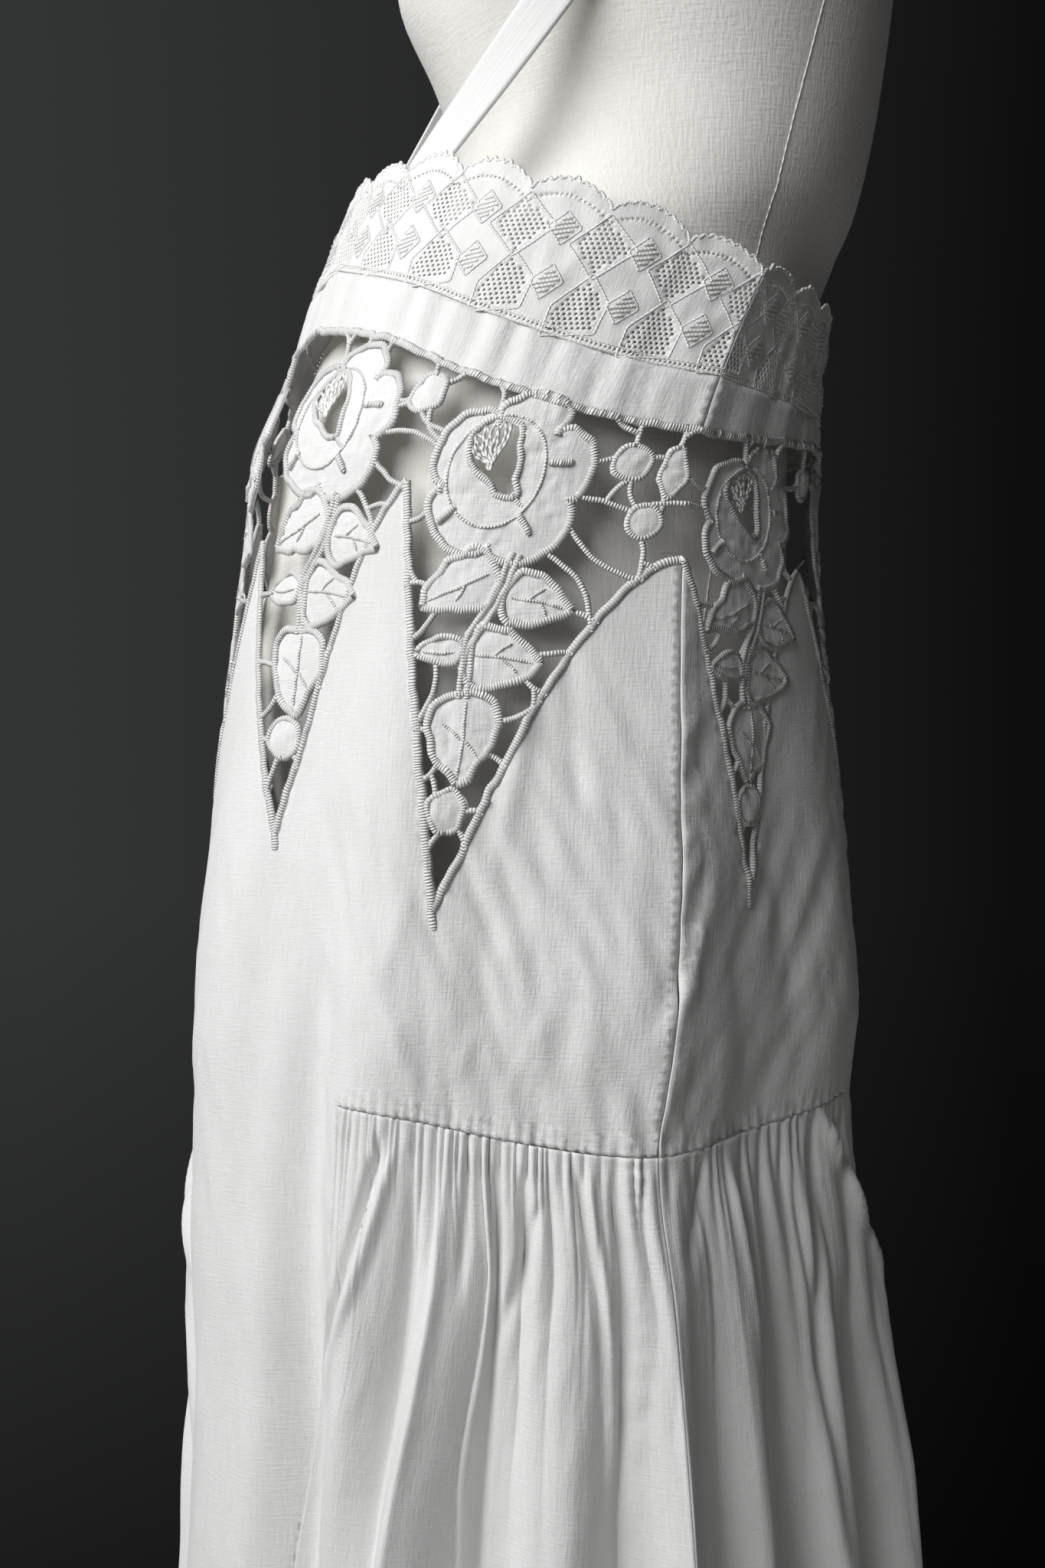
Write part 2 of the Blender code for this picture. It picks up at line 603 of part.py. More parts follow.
def ruffle(name, girth_from, girth_to, gathers, folds, follow=0):
    """A gathered ruffle: fine gathers at its seam open into the broad folds of its table at the hem."""
    count = gathers * 2
    rows = []
    for drop in (GAP, *RUFFLE_ROWS):
        row = []
        for k in range(count + 1):
            share = k / count
            z = edge("ruffle_seam", girth_from + (girth_to - girth_from) * share) - drop
            front = ruffle_edge(z)
            ends = {1: (front, -SEAM_HALF), -1: (SEAM_HALF - 180.0, -180.0 - front),
                    0: (SEAM_HALF, 180.0 - SEAM_HALF)}[follow]
            girth = ends[0] + (ends[1] - ends[0]) * share
            across = {1: share, -1: 1.0 - share, 0: 1.0 - abs(2.0 * share - 1.0)}[follow]
            fold = column(folds, FOLD_LINE_COLUMNS, "rise", across)
            fine = 0.0022 * math.exp(-drop / 0.035) * (1 if k % 2 else -1)
            if k in (0, count):
                fine = 0.0
            row.append((girth, z, fine + fold * (smooth(0.0, 0.20, drop) + 0.3 * smooth(0.20, 0.31, drop))))
        rows.append(row)
    bm = bmesh.new()
    grid_wall(bm, rows[::-1], CLOTH, lambda p, out: dress_point(p[0], p[1], p[2] + out))
    return finish(name, bm, *COTTON, smooth_angle=60.0)


# The dress form


def form_size(z):
    return {name: column(FORM, FORM_COLUMNS, name, z) for name in FORM_COLUMNS[1:]}


def form_point(turn, z, out=0.0):
    """A point on the form's cover, by degrees round from the wearer's left."""
    size = form_size(z)
    c, s = math.cos(math.radians(turn)), math.sin(math.radians(turn))
    power = size["squareness"]
    radius = ((abs(c) / size["half_width"]) ** power + (abs(s) / size["half_depth"]) ** power) ** (-1 / power)
    for middle in (-90 + BUST["turn"], -90 - BUST["turn"]):
        away = (turn - middle + 180) % 360 - 180
        above = (z - BUST["z"]) / BUST["tall"]
        radius += BUST["rise"] * math.exp(-((away / BUST["wide"]) ** 2) - above**2)
    return Vector(((radius + out) * c, size["mid_y"] + (radius + out) * s, z))


def loft(name, rings, look, smooth_angle=35.0):
    """A closed solid through rings of points, with a flat cap at each end."""
    bm = bmesh.new()
    made = [[bm.verts.new(p) for p in ring] for ring in rings]
    for low, high in zip(made, made[1:]):
        for k in range(len(low)):
            bm.faces.new((low[k - 1], low[k], high[k], high[k - 1]))
    bm.faces.new(made[0][::-1])
    bm.faces.new(made[-1])
    return finish(name, bm, *look, smooth_angle=smooth_angle)


def dress_form():
    around = 32
    heights = [row[0] for row in FORM]
    extra = [(heights[k] + heights[k + 1]) / 2 for k in range(8, 14)]
    levels = sorted(heights + extra)
    rings = [[form_point(360.0 * k / around, z) for k in range(around)] for z in levels]
    loft("form_torso", rings, LINEN_COVER)


def turned(name, profile, middle, look, around=40):
    """A solid of revolution about a vertical line, from (radius, z) points off the axis."""
    angles = [math.tau * k / around for k in range(around)]
    rings = [[Vector((middle[0] + r * math.cos(a), middle[1] + r * math.sin(a), z)) for a in angles]
             for r, z in profile]
    loft(name, rings, look)


def stand():
    """A neck cap above the form, and below it a collar, a pole and a round iron base."""
    neck_top, neck_y = FORM[-1][0], FORM[-1][3]
    cap = ((0.052, 0.0), (0.056, 0.003), (0.056, NECK_CAP_HEIGHT - 0.003), (0.050, NECK_CAP_HEIGHT))
    turned("neck_cap", [(r, neck_top + GAP + z) for r, z in cap], (0.0, neck_y), LINEN_COVER, 32)
    bottom = FORM[0][0] - GAP
    collar = ((0.024, -0.050), (0.024, -0.010), (0.045, -0.006), (0.045, 0.0))
    turned("pole_collar", [(r, bottom + z) for r, z in collar], (0.0, 0.0), BLACK_IRON, 24)
    pole = ((POLE_RADIUS, BASE_HEIGHT + 0.016 + GAP), (POLE_RADIUS, bottom - 0.050 - GAP))
    turned("stand_pole", pole, (0.0, 0.0), BLACK_IRON, 20)
    base = ((BASE_RADIUS - 0.002, 0.0), (BASE_RADIUS, 0.002), (BASE_RADIUS, 0.007),
            (BASE_RADIUS - 0.006, 0.011), (0.030, BASE_HEIGHT), (0.022, BASE_HEIGHT + 0.016))
    turned("stand_base", base, (0.0, 0.0), BLACK_IRON, 40)


# The straps: where they lie on the form, by degrees round it and height
STRAP_COLUMNS = ("step", "turn", "z")
STRAP_LINE = (
    (-48.0, 1.216), (-47.5, 1.235), (-46.5, 1.257), (-44.0, 1.285), (-40.0, 1.315), (-34.0, 1.345),
    (-27.0, 1.370), (-18.0, 1.390), (-6.0, 1.403), (6.0, 1.408), (20.0, 1.402), (32.0, 1.388),
    (42.0, 1.366), (50.0, 1.340),
    (57.0, 1.305), (62.0, 1.270), (66.0, 1.235), (68.0, 1.200), (70.0, 1.165), (71.0, 1.130), (71.0, 1.100),
    (70.5, 1.076), (70.3, 1.062),
)


def form_normal(turn, z):
    step_round = form_point(turn + 0.5, z) - form_point(turn - 0.5, z)
    step_up = form_point(turn, z + 0.002) - form_point(turn, z - 0.002)
    return step_round.cross(step_up).normalized()


def strap_path(front_foot, shift):
    """Points and outward directions of a strap, from the band's front over the shoulder to the band's back.

    The shift turns its first points on the form further round the side.
    """
    lift = STRAP_THICK / 2 + 0.0006
    over = [(k, *row) for k, row in enumerate(STRAP_LINE)]
    front_end = ((1.082, 0.0008), (1.090, 0.0016), (1.098, 0.0040))
    path = [strap_foot(front_foot, z, clear) for z, clear in front_end]
    for k in range(2 * len(over) - 1):
        turn = column(over, STRAP_COLUMNS, "turn", k / 2) + shift * (1 - smooth(0.0, 8.0, k / 2))
        z = column(over, STRAP_COLUMNS, "z", k / 2)
        normal = form_normal(turn, z)
        path.append((form_point(turn, z) + normal * lift, normal))
    return path + [strap_foot(70.0, z, 0.0008) for z in (1.046, 1.038, 1.030)]


def strap_foot(girth, z, clear):
    """A point of a strap's end, inside the lace band."""
    step_round = dress_point(girth + 1.0, z) - dress_point(girth - 1.0, z)
    step_up = dress_point(girth, z + 0.004) - dress_point(girth, z - 0.004)
    normal = step_round.cross(step_up).normalized()
    return dress_point(girth, z) - normal * (LACE / 2 + GAP + clear + STRAP_THICK / 2), normal


def strap(name, front_foot, shift, side):
    """A flat tape along the strap's path; side is 1 on the wearer's left and -1 on the right."""
    path = strap_path(front_foot, shift)
    rings = []
    for k, (here, normal) in enumerate(path):
        before = path[max(k - 1, 0)][0]
        after = path[min(k + 1, len(path) - 1)][0]
        along = (after - before).normalized()
        across = along.cross(normal).normalized() * STRAP_WIDTH / 2
        out = across.cross(along).normalized()
        out *= math.copysign(STRAP_THICK / 2, out.dot(normal))
        ring = (here + across + out, here - across + out, here - across - out, here + across - out)
        rings.append([Vector((side * p.x, p.y, p.z)) for p in ring])
    loft(name, rings, COTTON)


def main():
    for old in list(bpy.data.objects):
        bpy.data.objects.remove(old)
    hem = edge("ruffle_seam", -90) - RUFFLE_DROP
    panel("front_panel", -180.0 + SEAM_HALF, -SEAM_HALF, front_outline(), hem)
    panel("back_panel", SEAM_HALF, 180.0 - SEAM_HALF, back_outline(), 0.66)
    lace_band("lace_band_front", -180.0, 0.0)
    lace_band("lace_band_back", 0.0, 180.0)
    ruffle("ruffle_left", RUFFLE_START, 0.0, SIDE_GATHERS, SIDE_FOLDS, follow=1)
    ruffle("ruffle_right", -180.0, -180.0 - RUFFLE_START, SIDE_GATHERS, SIDE_FOLDS, follow=-1)
    ruffle("ruffle_back", 0.0, 180.0, BACK_GATHERS, BACK_FOLDS)
    strap("strap_left", -80.0, 4.0, 1)
    strap("strap_right", -50.0, 30.0, -1)
    dress_form()
    stand()


main()
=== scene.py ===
"""A white cotton summer dress with cutwork roses, on a limbless dress form.

The cloth is drawn flat, as girth in degrees against height, and wrapped round the same
sections as its solids.
Metres, +Z up, the front faces -Y.
"""
import bisect
import math
import random

import bmesh
import bpy
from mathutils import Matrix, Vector, noise
from mathutils.geometry import delaunay_2d_cdt


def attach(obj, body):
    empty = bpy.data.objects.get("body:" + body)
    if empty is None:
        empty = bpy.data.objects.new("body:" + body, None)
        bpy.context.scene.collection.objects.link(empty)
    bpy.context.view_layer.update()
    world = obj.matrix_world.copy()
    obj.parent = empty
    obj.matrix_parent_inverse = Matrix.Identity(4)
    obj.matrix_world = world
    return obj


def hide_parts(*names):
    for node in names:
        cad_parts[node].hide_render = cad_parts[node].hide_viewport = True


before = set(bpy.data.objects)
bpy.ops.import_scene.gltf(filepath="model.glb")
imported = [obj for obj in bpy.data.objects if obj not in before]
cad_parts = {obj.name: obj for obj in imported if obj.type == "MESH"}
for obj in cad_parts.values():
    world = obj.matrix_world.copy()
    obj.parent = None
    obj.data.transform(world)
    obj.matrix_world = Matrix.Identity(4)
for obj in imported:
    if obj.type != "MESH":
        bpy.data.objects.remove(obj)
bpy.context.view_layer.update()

# Driving dimensions
CLOTH_THICK = 0.0007
LACE_THICK = 0.0007
STRAP_THICK = 0.0018
STRAP_WIDTH = 0.020
STRAP_MEAN_WIDTH = 0.0173   # the tape is narrower over the form than at its front foot
GAP = 0.0003
RUFFLE_DROP = 0.315
RUFFLE_START = -54.0
RUFFLE_SWEEP = 17.0
SIDE_GATHERS = 34
BACK_GATHERS = 76
SCALLOPS = 12
SCALLOP_DEPTH = 0.0092
SCALLOP_TURN = 15.0         # degrees of girth from one scallop to the next
PICOTS = 9
SEAM_HALF = 0.07
METRES_PER_DEGREE = 0.00255
STITCH = 0.0013           # from one buttonhole stitch to the next
CORD_WIDE = 0.0046
CORD_TALL = 0.0025
BAR_THICK = 0.0030
HEM_DEEP = 0.018
MOTIF_DROP = 0.191          # from a rose down to the tip that the motifs are drawn for
ROSE_RADIUS = 0.0405        # of the rose that the lines inside a rose are drawn for
FORM_SEAM_SCALE = 0.0024    # metres for each degree round the form

DRESS_COLUMNS = ("z", "half_width", "half_depth", "mid_y", "corner", "seam_turn")
DRESS = (
    (1.130, 0.123, 0.123, -0.0010, 0.010, 10.0),
    (1.100, 0.126, 0.126, -0.0110, 0.011, 10.0),
    (1.060, 0.132, 0.132, -0.0205, 0.012, 9.0),
    (1.023, 0.135, 0.134, -0.0305, 0.012, 5.0),
    (0.984, 0.141, 0.141, -0.0400, 0.012, 1.0),
    (0.946, 0.143, 0.142, -0.0435, 0.013, -2.0),
    (0.870, 0.150, 0.150, -0.0455, 0.014, -4.0),
    (0.793, 0.158, 0.158, -0.0460, 0.014, -5.0),
    (0.716, 0.164, 0.165, -0.0460, 0.014, -7.0),
    (0.660, 0.162, 0.161, -0.0500, 0.014, -8.0),
    (0.600, 0.168, 0.166, -0.0460, 0.014, -8.0),
    (0.544, 0.172, 0.167, -0.0420, 0.014, -8.5),
    (0.430, 0.181, 0.175, -0.0350, 0.014, -9.5),
    (0.330, 0.188, 0.182, -0.0300, 0.014, -9.5),
)

EDGE_COLUMNS = ("girth", "top", "lace_bottom", "strip_bottom", "ruffle_seam")
EDGES = (
    (-90.0, 1.1190, 1.0700, 1.0400, 0.6840),
    (-65.0, 1.1160, 1.0535, 1.0270, 0.6830),
    (-45.0, 1.1020, 1.0335, 1.0060, 0.6785),
    (-22.0, 1.0830, 1.0145, 0.9880, 0.6680),
    (0.0, 1.0630, 1.0050, 0.9790, 0.6618),
    (22.0, 1.0575, 1.0010, 0.9810, 0.6680),
    (45.0, 1.0550, 0.9990, 0.9850, 0.6780),
    (90.0, 1.0530, 0.9970, 0.9900, 0.6800),
)

# Columns: girth, rise, spread
FOLDS = (
    (-89.0, 0.006, 15.0),
    (-66.0, -0.010, 9.0),
    (-50.0, 0.006, 10.0),
    (-26.0, -0.004, 13.0),
    (20.0, -0.006, 10.0),
    (40.0, 0.005, 12.0),
    (64.0, -0.006, 12.0),
    (90.0, 0.007, 15.0),
)

FOLD_LINE_COLUMNS = ("share", "rise")
SIDE_FOLDS = (
    (0.0, 0.002), (0.04, -0.001), (0.14, 0.007), (0.285, -0.008), (0.36, 0.008), (0.55, -0.009),
    (0.70, 0.007), (0.775, 0.008), (0.885, -0.010), (1.0, 0.010),
)
BACK_FOLDS = (
    (0.0, 0.010), (0.07, -0.009), (0.15, 0.008), (0.23, -0.008), (0.31, 0.009), (0.40, -0.009), (0.49, 0.008),
    (0.57, -0.009), (0.66, 0.010), (0.75, -0.008), (0.84, 0.009), (0.92, -0.009), (1.0, 0.008),
)

REPEAT_COLUMNS = ("left", "left_z", "left_bow", "right", "right_z", "right_bow", "low", "low_z",
                  "rose", "rose_z", "rose_r")
REPEATS = (
    (-90.0, 0.937, 1.00, -50.4, 0.957, 0.70, -75.4, 0.799, -69.5, 0.988, 0.0385),
    (-50.4, 0.957, 1.00, 0.0, 0.921, 0.62, -39.2, 0.766, -31.2, 0.957, 0.0405),
    (0.0, 0.921, 0.75, 33.0, 0.921, 0.55, 15.2, 0.774, 17.0, 0.942, 0.0350),
    (33.0, 0.921, 0.70, 90.0, 0.940, 0.62, 52.0, 0.779, 57.0, 0.946, 0.0365),
)

# Columns: name, across, up, length, width, turn, point
MOTIFS = (
    ("leaf_a", -0.0180, -0.0480, 0.042, 0.026, 205.0, 0.58),
    ("leaf_b", 0.0190, -0.0556, 0.034, 0.025, -16.0, 0.62),
    ("leaf_c", -0.0245, -0.0770, 0.024, 0.015, 183.0, 0.38),
    ("leaf_d", 0.0052, -0.0810, 0.037, 0.028, -6.0, 0.60),
    ("leaf_e", -0.0118, -0.1155, 0.043, 0.032, -93.0, 0.52),
    ("berry_f", -0.0170, -0.1470, 0.021, 0.019, -90.0, 0.10),
)
STEM = ((0.008, -0.034), (-0.001, -0.0585), (-0.011, -0.0710), (-0.012, -0.0980))
EYE = (-0.0066, 0.0080, 0.036, 0.019, -60.0, 0.60)
OVAL = (-0.0068, 0.0027, 0.0500, 0.0450)
# Columns: across, up, turn
SATIN = ((0.0225, 0.0060, 0.0), (-0.0270, -0.0162, 42.0), (0.0101, -0.0213, -57.0))
# Columns: start, reach, drift
FRAYS = ((9, 0.38, 0.0026), (10, 0.45, -0.0020), (10, 0.30, 0.0030), (11, 0.52, 0.0018), (11, 0.36, -0.0030),
         (12, 0.50, -0.0022), (12, 0.34, 0.0012), (13, 0.44, 0.0028), (13, 0.28, -0.0024), (14, 0.40, 0.0006),
         (15, 0.30, -0.0020))
# Columns: leaf, along, across, to along, to across
VEINS = (
    ("leaf_a", -0.36, 0.05, 0.38, -0.02), ("leaf_a", -0.10, 0.02, 0.08, 0.22),
    ("leaf_b", -0.34, -0.05, 0.36, 0.02), ("leaf_b", -0.12, -0.02, 0.06, 0.27),
    ("leaf_b", 0.04, -0.01, 0.16, -0.20), ("leaf_d", -0.36, 0.03, 0.36, 0.00),
    ("leaf_d", -0.14, 0.02, 0.08, 0.28), ("leaf_d", 0.0, 0.0, 0.20, -0.20),
    ("leaf_e", -0.38, 0.02, 0.38, 0.00), ("leaf_e", -0.14, -0.28, 0.02, 0.0),
    ("leaf_e", 0.0, 0.02, 0.18, 0.24), ("leaf_c", -0.30, 0.04, 0.30, -0.03),
)
# Columns: from, to, reach, notch
PETALS = (
    (47.0, 114.0, 1.00, 0.66),
    (-21.0, 47.0, 0.95, 0.74),
    (-102.0, -21.0, 1.02, 0.79),
    (-174.0, -102.0, 1.03, 0.84),
    (114.0, 186.0, 1.03, 0.80),
)

# Columns: name, girth, z, length, width, turn, point
EXTRAS = (
    ("berry_g", -50.4, 0.9970, 0.020, 0.019, 80.0, 0.0),
    ("bell", -10.2, 0.9640, 0.018, 0.018, 90.0, 0.15),
    ("oval_bud", -3.0, 0.9600, 0.024, 0.013, 90.0, 0.0),
    ("knot", -6.6, 0.9370, 0.017, 0.016, 80.0, 0.0),
    ("berry_h", 35.5, 0.9640, 0.017, 0.015, 80.0, 0.0),
)

# Columns: shape, turn, longest
BARS = (
    ("rose", 112, 0.03), ("rose", 62, 0.03), ("rose", 86, 0.02), ("rose", 148, 0.03), ("rose", 178, 0.03),
    ("rose", 202, 0.03), ("rose", 10, 0.03), ("rose", -16, 0.04), ("rose", -36, 0.05), ("rose", -58, 0.05),
    ("leaf_a", 178, 0.03), ("leaf_a", 228, 0.02), ("leaf_b", 18, 0.05), ("leaf_b", -20, 0.04),
    ("leaf_c", 185, 0.03), ("leaf_c", 255, 0.03), ("leaf_d", -38, 0.04), ("leaf_d", 5, 0.03),
    ("leaf_e", 170, 0.03), ("leaf_e", 225, 0.03), ("leaf_e", 25, 0.04), ("leaf_e", -30, 0.03),
    ("berry_f", 182, 0.03), ("berry_f", -5, 0.03), ("berry_f", -105, 0.04), ("berry_f", -60, 0.03),
)
EXTRA_BARS = (
    ("berry_g", 95, 0.03), ("berry_g", 200, 0.03), ("berry_g", -60, 0.03), ("berry_g", -110, 0.04),
    ("berry_g", 30, 0.03), ("bell", 88, 0.03), ("bell", -75, 0.03), ("bell", 5, 0.02),
    ("oval_bud", 90, 0.03), ("oval_bud", -100, 0.03), ("oval_bud", -20, 0.02), ("knot", -95, 0.03),
    ("knot", 205, 0.03), ("knot", 0, 0.02), ("berry_h", 92, 0.03), ("berry_h", 185, 0.03),
    ("berry_h", -85, 0.05), ("berry_h", 0, 0.03),
)

FORM_COLUMNS = ("z", "half_width", "half_depth", "mid_y", "squareness")
FORM = (
    (0.740, 0.118, 0.098, -0.0300, 2.2),
    (0.752, 0.124, 0.108, -0.0340, 2.2),
    (0.800, 0.131, 0.122, -0.0420, 2.2),
    (0.870, 0.134, 0.130, -0.0480, 2.1),
    (0.940, 0.131, 0.128, -0.0440, 2.0),
    (0.990, 0.127, 0.1255, -0.0395, 2.0),
    (1.023, 0.123, 0.1215, -0.0305, 2.0),
    (1.050, 0.121, 0.118, -0.0215, 2.0),
    (1.080, 0.121, 0.113, -0.0020, 2.0),
    (1.107, 0.125, 0.102, 0.0200, 2.0),
    (1.146, 0.130, 0.0985, 0.0320, 2.0),
    (1.185, 0.136, 0.1035, 0.0320, 2.05),
    (1.224, 0.142, 0.1070, 0.0300, 2.15),
    (1.260, 0.147, 0.106, 0.0300, 2.3),
    (1.300, 0.154, 0.099, 0.0310, 2.4),
    (1.340, 0.163, 0.089, 0.0340, 2.5),
    (1.368, 0.167, 0.079, 0.0370, 2.5),
    (1.392, 0.156, 0.071, 0.0390, 2.4),
    (1.410, 0.128, 0.065, 0.0400, 2.2),
    (1.424, 0.094, 0.061, 0.0405, 2.0),
    (1.438, 0.068, 0.058, 0.0400, 2.0),
    (1.470, 0.058, 0.056, 0.0380, 2.0),
    (1.500, 0.057, 0.056, 0.0360, 2.0),
)
BUST = {"z": 1.240, "turn": 33.0, "rise": 0.017, "tall": 0.042, "wide": 20.0}

STRAP_COLUMNS = ("step", "turn", "z")
STRAP_LINE = (
    (-48.0, 1.216), (-47.5, 1.235), (-46.5, 1.257), (-44.0, 1.285), (-40.0, 1.315), (-34.0, 1.345),
    (-27.0, 1.370), (-18.0, 1.390), (-6.0, 1.403), (6.0, 1.408), (20.0, 1.402), (32.0, 1.388),
    (42.0, 1.366), (50.0, 1.340), (57.0, 1.305), (62.0, 1.270), (66.0, 1.235), (68.0, 1.200),
    (70.0, 1.165), (71.0, 1.130), (71.0, 1.100), (70.5, 1.076), (70.3, 1.062),
)


# Curves through the tables, kept at even steps so that they read quickly


def column(rows, names, name, at):
    """The value of one column, read along a smooth curve through the table's rows."""
    k = names.index(name)
    key = [row[0] for row in rows]
    if key[0] > key[-1]:
        return column(rows[::-1], names, name, at)
    at = min(max(at, key[0]), key[-1])
    i = max(j for j in range(len(rows) - 1) if key[j] <= at)
    before, here = rows[max(i - 1, 0)], rows[i]
    there, after = rows[i + 1], rows[min(i + 2, len(rows) - 1)]
    span = there[0] - here[0]
    t = (at - here[0]) / span
    slope_here = (there[k] - before[k]) / (there[0] - before[0]) * span
    slope_there = (after[k] - here[k]) / (after[0] - here[0]) * span
    return ((2 * t**3 - 3 * t**2 + 1) * here[k] + (t**3 - 2 * t**2 + t) * slope_here
            + (3 * t**2 - 2 * t**3) * there[k] + (t**3 - t**2) * slope_there)


def sampled(rows, names, low, high, step):
    """Every column but the first, at even steps from low to high."""
    count = int(round((high - low) / step))
    return [[column(rows, names, name, low + step * k) for name in names[1:]] for k in range(count + 1)]


def read(samples, low, step, at):
    """A row of the samples at any place between them."""
    place = min(max((at - low) / step, 0.0), len(samples) - 1.001)
    k = int(place)
    t = place - k
    return [a + (b - a) * t for a, b in zip(samples[k], samples[k + 1])]


DRESS_LOW, DRESS_STEP = 0.33, 0.002
DRESS_ROWS = sampled(DRESS, DRESS_COLUMNS, DRESS_LOW, 1.13, DRESS_STEP)
EDGE_STEP = 0.5
EDGE_ROWS = sampled(EDGES, EDGE_COLUMNS, -90.0, 90.0, EDGE_STEP)
FORM_LOW, FORM_STEP = 0.74, 0.002
FORM_ROWS = sampled(FORM, FORM_COLUMNS, FORM_LOW, 1.5, FORM_STEP)


def smooth(low, high, value):
    """0 below low, 1 above high, and an even curve between them."""
    t = min(max((value - low) / (high - low), 0.0), 1.0)
    return t * t * (3 - 2 * t)


def near_side(girth):
    """The girth on the wearer's left that mirrors this one."""
    girth = (girth + 180.0) % 360.0 - 180.0
    if girth < -90.0:
        return -180.0 - girth
    if girth > 90.0:
        return 180.0 - girth
    return girth


def edge(name, girth):
    return read(EDGE_ROWS, -90.0, EDGE_STEP, near_side(girth))[EDGE_COLUMNS.index(name) - 1]


def dress_point(girth, z, out=0.0):
    """The middle of the cloth at a girth and height, moved out."""
    half_width, half_depth, mid_y, corner, seam_turn = read(DRESS_ROWS, DRESS_LOW, DRESS_STEP, z)
    across = math.cos(math.radians(girth))
    turn = math.radians(girth + seam_turn * across * abs(across))
    radius = 1.0 / math.hypot(math.cos(turn) / half_width, math.sin(turn) / half_depth)
    side = near_side(girth)
    radius += corner * math.exp(-abs(side) / 15.0)
    if z < 1.0:
        hang = smooth(1.00, 0.70, z) * (1.0 + 0.9 * smooth(0.0, 0.33, 0.68 - z))
        for middle, rise, spread in FOLDS:
            away = (side - middle) / spread
            if abs(away) < 3.0:
                radius += hang * rise * math.exp(-away * away)
    radius += out
    return Vector((radius * math.cos(turn), mid_y + radius * math.sin(turn), z))


def flat(girth, z):
    return (girth * METRES_PER_DEGREE, z)


# Creases of the panels, listed one by one: ridges where the rise is more than 0 and troughs where it is less


# Columns: girth, z, to girth, to z, wide, rise
CREASES = (
    (-42.2, 0.776, -37.2, 0.747, 0.0039, -0.0016), (-43.7, 0.771, -46.5, 0.742, 0.0052, 0.0012),
    (-36.6, 0.800, -30.0, 0.759, 0.0052, -0.0022), (-33.4, 0.819, -23.4, 0.781, 0.0065, 0.0026),
    (-30.5, 0.809, -25.4, 0.771, 0.0046, -0.0020), (-22.2, 0.842, -14.7, 0.822, 0.0091, -0.0016),
    (-17.3, 0.752, -14.4, 0.738, 0.0026, -0.0016), (-14.6, 0.756, -12.5, 0.736, 0.0052, 0.0014),
    (-31.4, 0.747, -28.2, 0.718, 0.0065, -0.0024), (-26.2, 0.751, -22.6, 0.721, 0.0065, 0.0018),
    (-37.4, 0.744, -33.5, 0.721, 0.0065, 0.0013), (-15.3, 0.731, -15.6, 0.708, 0.0065, -0.0016),
    (-20.0, 0.720, -22.4, 0.698, 0.0039, 0.0013), (-43.7, 0.716, -42.7, 0.701, 0.0039, 0.0012),
    (-30.9, 0.713, -32.4, 0.698, 0.0039, 0.0013), (-26.5, 0.710, -24.5, 0.694, 0.0039, -0.0013),
    (-19.3, 0.715, -19.2, 0.698, 0.0039, 0.0012), (-11.9, 0.728, -11.6, 0.699, 0.0052, 0.0012),
    (-49.0, 0.810, -49.0, 0.767, 0.0078, -0.0012), (-10.3, 0.823, -8.2, 0.780, 0.0078, -0.0012),
    (-19.8, 0.797, -16.4, 0.757, 0.0065, 0.0012), (-51.3, 0.747, -48.9, 0.707, 0.0078, -0.0010),
    (-38.6, 0.721, -38.1, 0.691, 0.0039, -0.0011), (-6.4, 0.790, -5.9, 0.731, 0.0065, 0.0010),
    (-27.2, 0.695, -25.5, 0.675, 0.0032, -0.0012), (-34.1, 0.696, -32.8, 0.677, 0.0032, -0.0012),
    (-19.2, 0.690, -18.1, 0.669, 0.0032, -0.0013), (-14.7, 0.685, -13.6, 0.667, 0.0032, 0.0013),
    (-8.6, 0.689, -7.3, 0.666, 0.0039, -0.0014), (-40.5, 0.698, -39.7, 0.681, 0.0032, 0.0010),
    (-5.3, 0.689, -4.1, 0.666, 0.0039, 0.0014), (6.2, 0.770, -0.3, 0.721, 0.0052, 0.0024),
    (3.9, 0.767, -1.6, 0.725, 0.0052, -0.0022), (17.8, 0.778, 19.6, 0.727, 0.0104, 0.0015),
    (11.5, 0.752, 14.6, 0.694, 0.0091, -0.0014), (23.2, 0.761, 26.4, 0.698, 0.0091, -0.0014),
    (3.8, 0.704, 5.3, 0.670, 0.0052, -0.0012), (9.9, 0.696, 12.9, 0.668, 0.0052, 0.0012),
    (19.5, 0.693, 22.8, 0.671, 0.0052, -0.0012), (-60.5, 0.740, -70.5, 0.470, 0.0190, -0.0070),
    (-67.0, 0.760, -77.0, 0.450, 0.0170, 0.0045), (-74.0, 0.800, -84.0, 0.480, 0.0150, -0.0035),
    (6.5, 0.790, 0.5, 0.728, 0.0048, 0.0030), (-24.0, 0.860, -28.0, 0.800, 0.0060, 0.0022),
    (-18.0, 0.880, -15.0, 0.815, 0.0060, -0.0020), (-34.0, 0.775, -27.0, 0.735, 0.0040, 0.0022),
)


CREASE_RUN = 0.35           # each crease runs out by this share of its length at both ends
CREASE_WIDTH = 0.72
CREASE_RISE = 0.75


